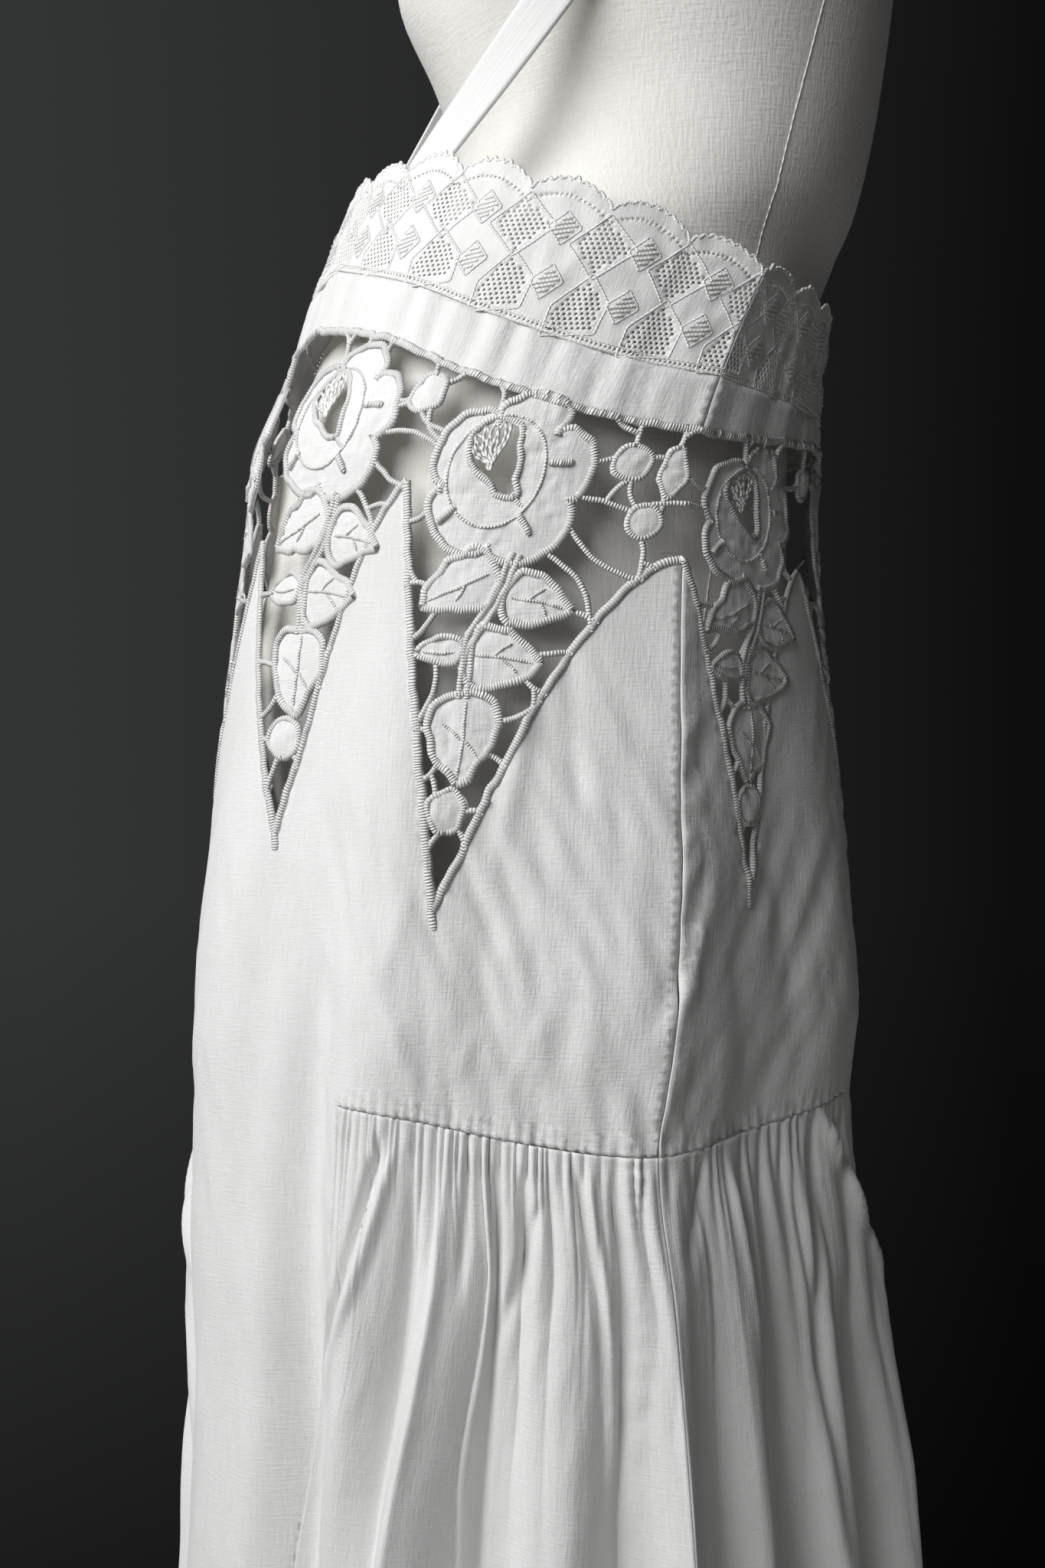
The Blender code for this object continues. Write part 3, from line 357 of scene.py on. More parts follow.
def crease_lines():
    """Every crease as a flat line, on the near side and, a little changed, on the far side."""
    lines = []
    for k, (girth, z, to_girth, to_z, wide, rise) in enumerate(CREASES):
        run_girth, run_z = CREASE_RUN * (to_girth - girth), CREASE_RUN * (to_z - z)
        girth, z, to_girth, to_z = girth - run_girth, z - run_z, to_girth + run_girth, to_z + run_z
        wide, rise = CREASE_WIDTH * wide, CREASE_RISE * rise
        lines.append((flat(girth, z), flat(to_girth, to_z), wide, rise))
        centre = -90.0 if girth < 0.0 else 90.0
        shift = 2.5 * math.sin(2.4 * k)
        lower = 0.012 * math.sin(1.7 * k + 1.0)
        lines.append((flat(2 * centre - girth + shift, z + lower),
                      flat(2 * centre - to_girth + shift, to_z + lower),
                      wide * (1.0 + 0.2 * math.sin(k)), rise * (0.9 + 0.25 * math.sin(3.1 * k))))
    return lines


CREASE_CELL = 0.02
crease_cells = {}
for line in crease_lines():
    (x0, z0), (x1, z1), wide, rise = line
    for column_at in range(int((min(x0, x1) - 3 * wide) // CREASE_CELL),
                           int((max(x0, x1) + 3 * wide) // CREASE_CELL) + 1):
        for row_at in range(int((min(z0, z1) - 3 * wide) // CREASE_CELL),
                            int((max(z0, z1) + 3 * wide) // CREASE_CELL) + 1):
            crease_cells.setdefault((column_at, row_at), []).append(line)

# Gathers of the strip between the lace and the cutwork. Columns: girth, spread, rise
RIPPLES = (
    (-88.0, 2.2, 0.0012), (-82.5, 1.8, -0.0014), (-77.0, 2.4, 0.0013), (-71.5, 1.6, -0.0015),
    (-66.0, 2.0, 0.0014), (-61.8, 1.2, -0.0016), (-58.4, 1.5, 0.0015), (-54.6, 1.2, -0.0013),
    (-51.0, 1.6, 0.0014), (-46.8, 1.4, -0.0018), (-42.6, 2.0, 0.0018), (-38.8, 1.2, -0.0012),
    (-35.2, 1.5, 0.0017), (-31.4, 1.5, -0.0016), (-26.5, 2.0, 0.0012), (-21.6, 1.6, -0.0014),
    (-17.0, 1.8, 0.0010), (-12.0, 1.5, -0.0010), (-7.6, 1.4, 0.0008), (5.5, 1.8, -0.0010),
    (11.0, 1.8, 0.0012), (17.5, 2.2, -0.0012), (24.0, 2.0, 0.0013), (31.0, 2.2, -0.0013),
    (38.5, 2.0, 0.0012), (46.0, 2.4, -0.0014), (54.0, 2.2, 0.0012), (62.5, 2.4, -0.0012),
    (71.0, 2.2, 0.0013), (80.0, 2.4, -0.0012), (88.0, 2.2, 0.0012),
)


def crease_rise(x, z):
    """How far the creases move the cloth out at a flat place."""
    rise = 0.0
    cell = (int(x // CREASE_CELL), int(z // CREASE_CELL))
    for (x0, z0), (x1, z1), wide, high in crease_cells.get(cell, ()):
        run_x, run_z = x1 - x0, z1 - z0
        length = math.hypot(run_x, run_z)
        along = ((x - x0) * run_x + (z - z0) * run_z) / length
        away = ((x - x0) * run_z - (z - z0) * run_x) / length / wide
        if abs(away) < 3.0:
            ends = smooth(-wide, 0.35 * length, along) * smooth(length + wide, 0.65 * length, along)
            rise += high * ends * math.exp(-away * away)
    return rise


def ridged(x, y, seed):
    """A pressed-in wrinkle: narrow ridges between wide soft hollows."""
    value = noise.noise(Vector((x, y, seed)))
    return 0.26 - math.sqrt(value * value + 0.003)


def cloth_rise(x, z):
    """Creases, the gathers of the top strip, puckers at the seams and a faint unevenness."""
    girth = x / METRES_PER_DEGREE
    side = near_side(girth)
    far = 9.0 if abs(girth) > 90.0 else 3.0
    rise = crease_rise(x, z)
    top = edge("lace_bottom", girth)
    if z > top - 0.045:
        hold = smooth(top - 0.045, top - 0.018, z)
        for middle, spread, high in RIPPLES:
            away = (side - middle) / spread
            if abs(away) < 3.0:
                rise += 0.55 * hold * high * math.exp(-away * away)
        rise += 0.0022 * hold * ridged(x * 175.0 + z * 20.0, z * 22.0, far)
    flat_x = side * METRES_PER_DEGREE
    lean = -1.0 if side > 0.0 else 1.0
    hang = smooth(0.93, 0.80, z) * (0.35 + 0.65 * smooth(-66.0, -48.0, side))
    down = 0.42 * flat_x * lean - 0.91 * z
    across = 0.91 * flat_x * lean + 0.42 * z
    rise += 0.0036 * hang * ridged(across * 60.0, down * 9.0, far)
    rise += 0.0014 * hang * ridged(flat_x * 130.0 + z * 30.0, z * 28.0, far + 1.0)
    seam = edge("ruffle_seam", girth)
    if side > RUFFLE_START and z - seam < 0.03:
        pull = math.exp(-max(z - seam, 0.0) / 0.007)
        rise += 0.0008 * pull * math.sin(x * 1350.0 + 3.0 * noise.noise(Vector((x * 60.0, 1.0, far))))
    if 0.0 < side < 6.0 and z < 0.925:
        rise += 0.0006 * smooth(4.1, 3.4, side)
        fold = math.exp(-((side - 2.2) / 1.4) ** 2)
        rise += 0.0022 * fold * noise.noise(Vector((1.0, z * 95.0, far)))
    rise += 0.0004 * noise.noise(Vector((x * 45.0, z * 30.0, 3.0)))
    return rise


def panel_point(x, z, out=0.0):
    return dress_point(x / METRES_PER_DEGREE, z, out + cloth_rise(x, z))


def lace_rise(x, z):
    """Soft waves and small crumples of the lace band."""
    waves = 0.0011 * noise.noise(Vector((x * 28.0, z * 9.0, 11.0)))
    return waves + 0.0016 * ridged(x * 70.0, z * 34.0, 2.0)


def lace_point(x, z, out=0.0):
    return dress_point(x / METRES_PER_DEGREE, z, out + lace_rise(x, z))


# Materials


def material(name, colour, roughness, metallic=0.0):
    made = bpy.data.materials.new(name)
    made.use_nodes = True
    tree = made.node_tree
    shader = tree.nodes["Principled BSDF"]
    shader.inputs["Base Color"].default_value = (*colour, 1.0)
    shader.inputs["Roughness"].default_value = roughness
    shader.inputs["Metallic"].default_value = metallic
    return made, tree, shader


def node(tree, kind, inputs=(), **settings):
    made = tree.nodes.new(kind)
    for key, value in settings.items():
        setattr(made, key, value)
    for key, value in inputs:
        if isinstance(value, bpy.types.NodeSocket):
            tree.links.new(value, made.inputs[key])
        else:
            made.inputs[key].default_value = value
    return made


def place_of(tree, uv, scale):
    """Coordinates of the cloth's own flat map, or of the object, in metres times the scale."""
    if uv:
        at = node(tree, "ShaderNodeUVMap", uv_map="flat").outputs["UV"]
    else:
        at = node(tree, "ShaderNodeTexCoord").outputs["Object"]
    return node(tree, "ShaderNodeMapping", [("Vector", at), ("Scale", scale)]).outputs["Vector"]


def tinted(tree, shader, value, dark, light, low=0.3, high=0.7):
    ramp = node(tree, "ShaderNodeValToRGB", [("Fac", value)])
    ramp.color_ramp.elements[0].position, ramp.color_ramp.elements[0].color = low, (*dark, 1.0)
    ramp.color_ramp.elements[1].position, ramp.color_ramp.elements[1].color = high, (*light, 1.0)
    tree.links.new(ramp.outputs["Color"], shader.inputs["Base Color"])


def added(tree, parts):
    """The sum of several heights, each times its depth."""
    total = None
    for value, depth in parts:
        made = node(tree, "ShaderNodeMath", [(0, value), (1, depth)], operation="MULTIPLY").outputs[0]
        total = made if total is None else node(tree, "ShaderNodeMath", [(0, total), (1, made)]).outputs[0]
    return total


def cloudy(tree, uv, scale, detail, roughness=0.5):
    return node(tree, "ShaderNodeTexNoise", [("Vector", place_of(tree, uv, scale)), ("Scale", 1.0),
                                             ("Detail", detail), ("Roughness", roughness)]).outputs["Fac"]


def roughened(tree, shader, value, low, high):
    rough = node(tree, "ShaderNodeMapRange", [("Value", value), ("To Min", low), ("To Max", high)])
    tree.links.new(rough.outputs[0], shader.inputs["Roughness"])


def bumped(tree, shader, height, strength=1.0, distance=1.0):
    bump = node(tree, "ShaderNodeBump", [("Height", height), ("Strength", strength), ("Distance", distance)])
    tree.links.new(bump.outputs["Normal"], shader.inputs["Normal"])


def woven(name, dark, light, roughness, pitch, slub, uv=True, sheen=0.12):
    """Plain woven cloth: warp and weft threads, slubs, and slow changes of tone and roughness."""
    made, tree, shader = material(name, light, roughness)
    fine, long = 0.5 / pitch, 0.07 / pitch
    warp = cloudy(tree, uv, (fine, long if uv else fine, 1.0 if uv else long), 2.0, 0.55)
    weft = cloudy(tree, uv, (long, fine if uv else long, fine), 2.0, 0.55)
    slubs = cloudy(tree, uv, (700.0, 40.0 if uv else 700.0, 40.0), 3.0, 0.6)
    tone = cloudy(tree, uv, (16.0, 9.0, 16.0), 4.0, 0.55)
    mixed = added(tree, [(tone, 0.5), (slubs, 0.3), (warp, 0.2)])
    tinted(tree, shader, mixed, dark, light, 0.36, 0.62)
    roughened(tree, shader, slubs, roughness - 0.08, roughness + 0.08)
    bumped(tree, shader, added(tree, [(weft, 0.45 * pitch), (warp, 0.45 * pitch), (slubs, slub)]))
    shader.inputs["Sheen Weight"].default_value = sheen
    shader.inputs["Sheen Roughness"].default_value = 0.5
    shader.inputs["Specular IOR Level"].default_value = 0.25
    return made


def threads(name, dark, light, roughness, grooves=0.0005):
    """Mercerised embroidery thread, laid in close stitches across each cord, with a soft gloss, and its
    colour painted darker in the grooves between the stitches as painted shade.
    """
    made, tree, shader = material(name, light, roughness)
    along = node(tree, "ShaderNodeUVMap", uv_map="flat").outputs["UV"]
    stitches = node(tree, "ShaderNodeTexWave",
                    [("Vector", along), ("Scale", 0.314), ("Distortion", 0.35), ("Detail", 1.0),
                     ("Detail Scale", 0.8)], bands_direction="X").outputs["Fac"]
    fibre = cloudy(tree, False, (1600.0, 1600.0, 1600.0), 3.0, 0.6)
    tone = cloudy(tree, False, (70.0, 70.0, 70.0), 3.0)
    # The colour follows the stitch wave: darker in its dips, which is painted shade in the grooves between
    # stitches, with the thread's own tone mixed in.
    tinted(tree, shader, added(tree, [(tone, 0.35), (stitches, 0.65)]), dark, light, 0.15, 0.60)
    roughened(tree, shader, fibre, roughness - 0.1, roughness + 0.1)
    bumped(tree, shader, added(tree, [(stitches, grooves), (fibre, 0.0001)]))
    shader.inputs["Sheen Weight"].default_value = 0.1
    shader.inputs["Specular IOR Level"].default_value = 0.35
    return made


def painted_iron():
    made, tree, shader = material("black_iron", (0.02, 0.02, 0.022), 0.4, 0.0)
    grain = cloudy(tree, False, (260.0, 260.0, 260.0), 5.0, 0.6)
    wear = cloudy(tree, False, (24.0, 24.0, 24.0), 6.0, 0.65)
    tinted(tree, shader, wear, (0.014, 0.014, 0.016), (0.034, 0.033, 0.033), 0.35, 0.75)
    roughened(tree, shader, wear, 0.30, 0.55)
    bumped(tree, shader, grain, 0.6, 0.0004)
    return made


def plain_floor():
    made, tree, shader = material("pale_floor", (0.72, 0.71, 0.70), 0.85)
    mottle = cloudy(tree, False, (5.0, 5.0, 5.0), 5.0)
    tinted(tree, shader, mottle, (0.69, 0.68, 0.67), (0.75, 0.74, 0.73))
    return made


COTTON = woven("white_cotton", (0.800, 0.795, 0.785), (0.885, 0.882, 0.876), 0.80, 0.00052, 0.00016)
LACE_COTTON = woven("lace_cotton", (0.812, 0.806, 0.794), (0.895, 0.892, 0.884), 0.78, 0.00040, 0.00008)
# The darker colour of each thread is the painted shade of the grooves between its stitches.
THREAD = threads("white_thread", (0.700, 0.692, 0.675), (0.930, 0.926, 0.915), 0.62)
LACE_THREAD = threads("fine_white_thread", (0.820, 0.814, 0.800), (0.915, 0.911, 0.900), 0.66, 0.00015)
COVER = woven("form_cover", (0.760, 0.738, 0.702), (0.845, 0.828, 0.796), 0.88, 0.00070, 0.00012, uv=False,
              sheen=0.05)
IRON = painted_iron()


# Shared ways of making pieces


def finished(name, bm, finish, slot, *stands_for):
    """Makes the object of a bmesh, smooth-shaded, on the root body."""
    layer = bm.verts.layers.float_vector.get("flat_place")
    if layer is not None and not bm.loops.layers.uv:
        lay_uv(bm, layer)
    mesh = bpy.data.meshes.new(name)
    bm.to_mesh(mesh)
    bm.free()
    mesh.shade_smooth()
    mesh.materials.append(finish)
    item = bpy.data.objects.new(name, mesh)
    bpy.context.scene.collection.objects.link(item)
    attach(item, "root")
    if stands_for:
        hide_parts(*stands_for)
    return item


def thicken(item, thick):
    """Gives cloth its thickness, half to each side."""
    wall = item.modifiers.new("thickness", "SOLIDIFY")
    wall.thickness = thick
    wall.offset = 0.0
    wall.use_even_offset = False
    return item


def mapped_grid(bm, along, around, place, layer, flat_at):
    """Lays a grid of cells by a function of two shares, and keeps its flat place for the weave."""
    made = bmesh.ops.create_grid(bm, x_segments=along, y_segments=around, size=0.5)["verts"]
    for point in made:
        s, t = point.co.x + 0.5, point.co.y + 0.5
        point[layer] = Vector((*flat_at(s, t), 0.0))
        point.co = place(s, t)
    return made


def lay_uv(bm, layer):
    """Copies each point's flat place into the map that the weave reads."""
    flat_map = bm.loops.layers.uv.new("flat")
    for face in bm.faces:
        for loop in face.loops:
            loop[flat_map].uv = loop.vert[layer].xy


def resampled(path, step, closed):
    """Points at even steps along a flat path."""
    points = [Vector(p) for p in path]
    if closed:
        points.append(points[0].copy())
    runs = [(b - a).length for a, b in zip(points, points[1:])]
    total = sum(runs)
    count = max(int(round(total / step)), 4)
    count += count % 2
    found, k, passed = [], 0, 0.0
    for i in range(count + (0 if closed else 1)):
        want = total * i / count
        while k < len(runs) - 1 and passed + runs[k] < want:
            passed += runs[k]
            k += 1
        t = (want - passed) / max(runs[k], 1e-9)
        found.append(points[k].lerp(points[k + 1], min(t, 1.0)))
    return found


def softened(points, closed, rounds=1):
    for _ in range(rounds):
        count = len(points)
        points = [points[k] if not closed and k in (0, count - 1)
                  else (points[k - 1] + points[k] * 2 + points[(k + 1) % count]) / 4 for k in range(count)]
    return points


def wander(p):
    """The small unevenness of a line that is sewn by hand."""
    sideways, upwards = (noise.noise(Vector((p.x * 130.0, p.y * 130.0, seed))) for seed in (1.0, 8.0))
    return Vector((sideways, upwards)) * 0.0009


def sewn_cord(bm, path, place, wide=CORD_WIDE, tall=CORD_TALL, pitch=STITCH, closed=False, sides=5, lift=0.0,
              groove=0.74, taper=0.0):
    """A corded line of stitches on the cloth: a rounded ridge with a dip between one stitch and the next."""
    points = softened(resampled(path, pitch / 2, closed), closed)
    count = len(points)
    points = [p + wander(p) * min(wide / 0.0044, 1.0) for p in points]
    layer = bm.verts.layers.float_vector.get("flat_place") or bm.verts.layers.float_vector.new("flat_place")
    rings = []
    for k, here in enumerate(points):
        before = points[k - 1] if closed or k else here
        after = points[(k + 1) % count] if closed or k < count - 1 else here
        run = (after - before).normalized()
        centre = place(here.x, here.y, lift)
        along = (place(here.x + run.x * 0.0006, here.y + run.y * 0.0006, lift) - centre).normalized()
        side = (place(here.x - run.y * 0.0006, here.y + run.x * 0.0006, lift) - centre).normalized()
        rings.append((centre, side, side.cross(along).normalized() * -1.0))
    steps = count if closed else count - 1

    def on_ring(s, t):
        k = int(round(s * steps)) % count
        centre, side, out = rings[k]
        size = 1.0 if k % 2 else groove
        if taper and not closed:
            size *= min(1.0, 0.35 + min(k, steps - k) * pitch / 2 / taper)
        turn = math.tau * t
        return (centre + side * (math.cos(turn) * wide / 2 * (0.5 + 0.5 * size))
                + out * (math.sin(turn) * tall / 2 * size))

    made = mapped_grid(bm, steps, sides, on_ring, layer, lambda s, t: (s * steps / 2.0, t))
    bmesh.ops.remove_doubles(bm, verts=made, dist=1e-7)


def wound_bar(bm, start, stop, bow, place):
    """A bar wound with thread, thrown across a gap in a slight curve."""
    a, b = Vector(start), Vector(stop)
    run = b - a
    side = Vector((-run.y, run.x))
    path = [a + run * t + side * bow * math.sin(math.pi * t) for t in (k / 10 for k in range(11))]
    sewn_cord(bm, path, place, wide=BAR_THICK, tall=BAR_THICK, pitch=0.0014, sides=5, groove=0.80)


# Flat shapes of the cutwork


def rose_petals(middle, radius, each=14):
    """Each petal's outline, from notch to notch."""
    petals = []
    for start, stop, reach, notch in sorted(PETALS):
        points = []
        for k in range(each + 1):
            angle = math.radians(start + (stop - start) * k / each)
            far = notch + (reach - notch) * max(math.sin(math.pi * k / each), 0.0) ** 0.5
            points.append((middle[0] + radius * far * math.cos(angle),
                           middle[1] + radius * far * math.sin(angle)))
        petals.append(uneven(points, 0.0022))
    return petals


def drop_outline(middle, length, width, turn, count=30, point=0.35):
    """A leaf: an oval drawn to a blunt point at its far end, turned by degrees."""
    turn = math.radians(turn)
    points = []
    for k in range(count):
        angle = math.tau * k / count
        along = 0.5 * length * math.cos(angle)
        across = 0.5 * width * math.sin(angle) * (1.0 - point * math.cos(angle))
        points.append((middle[0] + along * math.cos(turn) - across * math.sin(turn),
                       middle[1] + along * math.sin(turn) + across * math.cos(turn)))
    return points


def area(loop):
    return sum(loop[k - 1][0] * loop[k][1] - loop[k][0] * loop[k - 1][1] for k in range(len(loop))) / 2


def fine_edges(loop, step=0.004):
    """The same closed outline, with points added where a side of it is long."""
    found = []
    for k in range(len(loop)):
        a, b = Vector(loop[k - 1]), Vector(loop[k])
        count = max(math.ceil((b - a).length / step), 1)
        found += [tuple(a.lerp(b, j / count)) for j in range(count)]
    return found


def inset(loop, depth):
    """A closed flat outline moved inwards."""
    count = len(loop)
    turn = 1.0 if area(loop) > 0 else -1.0
    moved = []
    for k in range(count):
        run = (Vector(loop[(k + 1) % count]) - Vector(loop[k - 1])).normalized()
        moved.append(Vector(loop[k]) + Vector((-run.y, run.x)) * depth * turn)
    return moved


def hits(shape, start, direction):
    """The distances at which a ray crosses the outline of a shape."""
    found = []
    for k in range(len(shape)):
        ax, ay = shape[k - 1]
        bx, by = shape[k]
        ex, ey = bx - ax, by - ay
        cross = direction[0] * ey - direction[1] * ex
        if abs(cross) < 1e-12:
            continue
        t = ((ax - start[0]) * ey - (ay - start[1]) * ex) / cross
        u = ((ax - start[0]) * direction[1] - (ay - start[1]) * direction[0]) / cross
        if t > 1e-6 and 0.0 <= u <= 1.0:
            found.append(t)
    return found


def bar_from(shapes, cloth, name, angle, longest, sink=0.0016):
    """The ends of a bar that leaves one shape at an angle and stops in the first thing it meets."""
    own = shapes[name]
    middle = (sum(p[0] for p in own) / len(own), sum(p[1] for p in own) / len(own))
    direction = (math.cos(math.radians(angle)), math.sin(math.radians(angle)))
    leave = max(hits(own, middle, direction))
    if any(sum(t > leave for t in hits(shape, middle, direction)) % 2 for shape in cloth):
        return None
    meets = [t for key, shape in shapes.items() if key != name for t in hits(shape, middle, direction)]
    meets += [t for shape in cloth for t in hits(shape, middle, direction)]
    meets = [t for t in meets if t > leave]
    if not meets or min(meets) - leave > longest or min(meets) - leave < 0.002:
        return None
    return [Vector((middle[0] + direction[0] * reach, middle[1] + direction[1] * reach))
            for reach in (leave - sink, min(meets) + sink)]


def fork_from(shapes, cloth, start, stop, bow, turn, longest=0.021, sink=0.0012):
    """A second leg for a bar: it leaves the bar's middle at a slant and ends in the first thing it meets."""
    run = stop - start
    middle = start + run * 0.5 + Vector((-run.y, run.x)) * bow
    angle = math.atan2(run.y, run.x) + math.radians(turn)
    direction = (math.cos(angle), math.sin(angle))
    meets = [t for shape in [*shapes.values(), *cloth] for t in hits(shape, middle, direction)]
    if not meets or min(meets) > longest or min(meets) < 0.004:
        return None
    return middle, middle + Vector(direction) * (min(meets) + sink)


def bowed(tip, low, bow, count=48):
    return [(tip[0] + (low[0] - tip[0]) * (k / count) ** bow, tip[1] + (low[1] - tip[1]) * k / count)
            for k in range(count + 1)]


def mirror(points, centre):
    return [(2 * centre - x, y) for x, y in points]


def repeat_layout(row):
    """One repeat of the cutwork: its rose, its motifs with their axes, its stem and the rose's open eye."""
    at = dict(zip(REPEAT_COLUMNS, row))
    rose, low = flat(at["rose"], at["rose_z"]), flat(at["low"], at["low_z"])
    grow = (rose[1] - low[1]) / MOTIF_DROP
    lean = (low[0] - rose[0]) / grow + 0.0205

    def spot(across, up):
        return (rose[0] + grow * (across - lean * up / MOTIF_DROP), rose[1] + grow * up)

    motifs = {}
    for name, across, up, length, width, turn, point in MOTIFS:
        motifs[name] = (spot(across, up), grow * length, grow * width, turn, point)
    scale = at["rose_r"] / ROSE_RADIUS
    eye_at = (rose[0] + scale * EYE[0], rose[1] + scale * EYE[1])
    eye = (eye_at, scale * EYE[2], scale * EYE[3], EYE[4], EYE[5])
    return rose, at["rose_r"], motifs, [spot(*point) for point in STEM], eye


def turned_over(motif, centre):
    (x, z), length, width, turn, point = motif
    return (2 * centre - x, z), length, width, 180.0 - turn, point


def uneven(points, reach):
    """A flat outline with the small bends of cloth that is cut and sewn by hand."""
    return [(x + reach * noise.noise(Vector((x * 105.0, y * 105.0, 4.0))),
             y + reach * noise.noise(Vector((x * 105.0, y * 105.0, 6.0))))
            for x, y in points]


def drop(motif, count=30):
    middle, length, width, turn, point = motif
    return uneven(drop_outline(middle, length, width, turn, count, point), 0.09 * min(length, 0.030))


def cutwork(girth_from, girth_to, below):
    """All flat shapes of one panel, with what is sewn on them."""
    centre = flat((girth_from + girth_to) / 2, 0)[0]
    limits = (flat(girth_from, 0)[0], flat(girth_to, 0)[0])
    steps = 180
    across = [girth_from + (girth_to - girth_from) * k / steps for k in range(steps + 1)]
    top = [flat(g, edge("lace_bottom", g) - GAP) for g in across]
    bottom = [flat(g, edge("strip_bottom", g)) for g in across]
    rows = [row for row in REPEATS if girth_from < (row[0] + row[3]) / 2 < girth_to]
    layout = {"shapes": {}, "solids": [], "roses": [], "stems": [],
              "edges": [bottom], "bars": [], "leaves": []}
    zigzag, wanted = [], []
    for row in rows:
        at = dict(zip(REPEAT_COLUMNS, row))
        low = flat(at["low"], at["low_z"])
        left = bowed(flat(at["left"], at["left_z"]), low, at["left_bow"])
        right = bowed(flat(at["right"], at["right_z"]), low, at["right_bow"])[::-1]
        zigzag += left + right
        tail = [low, (low[0] + 0.0006, low[1] - 0.007)]
        layout["edges"] += [left + tail[1:], right, mirror(left + tail[1:], centre), mirror(right, centre)]
    zigzag += mirror(zigzag, centre)
    zigzag = [(min(max(x, limits[0]), limits[1]), y) for x, y in zigzag]
    lower = sorted(set((round(x, 6), round(y, 6)) for x, y in zigzag)) + below
    for over in (False, True):
        for k, row in enumerate(rows):
            tag = f"{k}{'m' if over else ''}_"
            rose, radius, motifs, stem, eye = repeat_layout(row)
            petals = rose_petals(rose, radius)
            if over:
                rose, eye = (2 * centre - rose[0], rose[1]), turned_over(eye, centre)
                motifs = {name: turned_over(motif, centre) for name, motif in motifs.items()}
                stem, petals = mirror(stem, centre), [mirror(petal, centre) for petal in petals]
            shapes = {tag + name: drop(motif) for name, motif in motifs.items()}
            shapes[tag + "rose"] = [p for petal in petals for p in petal[:-1]]
            layout["shapes"].update(shapes)
            layout["leaves"] += [(name, motif) for name, motif in motifs.items()]
            layout["roses"].append((rose, radius, petals, eye, over))
            layout["stems"].append(stem)
            wanted += [(tag + name, 180 - angle if over else angle, longest) for name, angle, longest in BARS]
        for name, girth, z, length, width, turn, point in EXTRAS:
            if girth_from < girth < girth_to:
                motif = (flat(girth, z), length, width, turn, point)
                motif = turned_over(motif, centre) if over else motif
                tag = "m_" if over else ""
                layout["shapes"][tag + name] = drop(motif, 20)
                layout["leaves"].append((name, motif))
                wanted += [(tag + name, 180 - angle if over else angle, longest)
                           for owner, angle, longest in EXTRA_BARS if owner == name]
    stems = {}
    layout["wanted"] = wanted
    for k, stem in enumerate(layout["stems"]):
        for j in range(len(stem) - 1):
            run = Vector(stem[j + 1]) - Vector(stem[j])
            side = Vector((-run.y, run.x)).normalized() * 0.0031
            stems[f"stem_{k}_{j}"] = [tuple(Vector(stem[j]) + side), tuple(Vector(stem[j]) - side),
                                      tuple(Vector(stem[j + 1]) - side), tuple(Vector(stem[j + 1]) + side)]
    strip = top + bottom[::-1]
    layout["met"] = {**layout["shapes"], **stems}
    layout["cloth"] = [strip, lower]
    layout["solids"] = [fine_edges(strip), fine_edges(lower), *layout["shapes"].values(), *stems.values()]
    layout["eyes"] = [drop(eye, 24) for _, _, _, eye, _ in layout["roses"]]
    return layout


def shifted(loop, by):
    return [(x + by, y) for x, y in loop]


def lay_bars(layout, other, round_by):
    """The bars of one panel; those at a side seam run across it to the other panel's shapes."""
    met, cloth = dict(layout["met"]), list(layout["cloth"])
    for by in (0.0, round_by):
        met.update({f"{name}_{by}": shifted(loop, by) for name, loop in other["met"].items()})
        cloth += [shifted(loop, by) for loop in other["cloth"]]
    for k, (name, angle, longest) in enumerate(layout["wanted"]):
        ends = bar_from(met, cloth, name, angle, longest)
        if not ends:
            continue
        bow = (0.10 + 0.06 * math.sin(1.3 * k)) * (1.0 if k % 2 else -1.0)
        layout["bars"].append((*ends, bow))
        if k % 3 == 0 and (ends[1] - ends[0]).length > 0.009:
            fork = fork_from(met, cloth, *ends, bow, 62.0 if k % 2 else -62.0)
            if fork:
                layout["bars"].append((*fork, 0.08))


def triangulate(faces, loose=()):
    """Flat triangles, each with the list of the given faces that cover it."""
    faces = [face if area(face) > 0 else face[::-1] for face in faces]
    points = [Vector(p) for face in faces for p in face]
    starts, rings = 0, []
    for face in faces:
        rings.append(list(range(starts, starts + len(face))))
        starts += len(face)
    points += [Vector(p) for p in loose]
    found = delaunay_2d_cdt(points, [], rings, 1, 1e-7)
    return [tuple(p) for p in found[0]], found[2], found[5]


def loose_points(loops, left, right, low, high, step):
    """Points in even rows, away from every outline."""
    taken = set()
    for loop in loops:
        for k in range(len(loop)):
            a, b = Vector(loop[k - 1]), Vector(loop[k])
            for j in range(int((b - a).length / step * 3) + 1):
                p = a + (b - a) * (j / (int((b - a).length / step * 3) + 1))
                taken.add((round(p.x / step * 1.6), round(p.y / step * 1.6)))
    found = []
    rows = int((high - low) / (step * 0.87))
    for j in range(rows):
        z = low + step * 0.87 * (j + 0.5)
        count = int((right - left) / step)
        for k in range(count):
            x = left + (k + (0.25 if j % 2 else 0.75)) * (right - left) / count
            if (round(x / step * 1.6), round(z / step * 1.6)) not in taken:
                found.append((x, z))
    return found


def sheet_mesh(points, triangles, place):
    """The flat triangles as cloth in its place, with its flat map."""
    bm = bmesh.new()
    layer = bm.verts.layers.float_vector.new("flat_place")
    used = sorted(set(i for triangle in triangles for i in triangle))
    made = {}
    for i in used:
        point = points[i]
        made[i] = bm.verts.new(place(point[0], point[1]))
        made[i][layer] = Vector((point[0], point[1], 0.0))
    for triangle in triangles:
        bm.faces.new([made[i] for i in triangle])
    lay_uv(bm, layer)
    bmesh.ops.recalc_face_normals(bm, faces=bm.faces)
    return bm


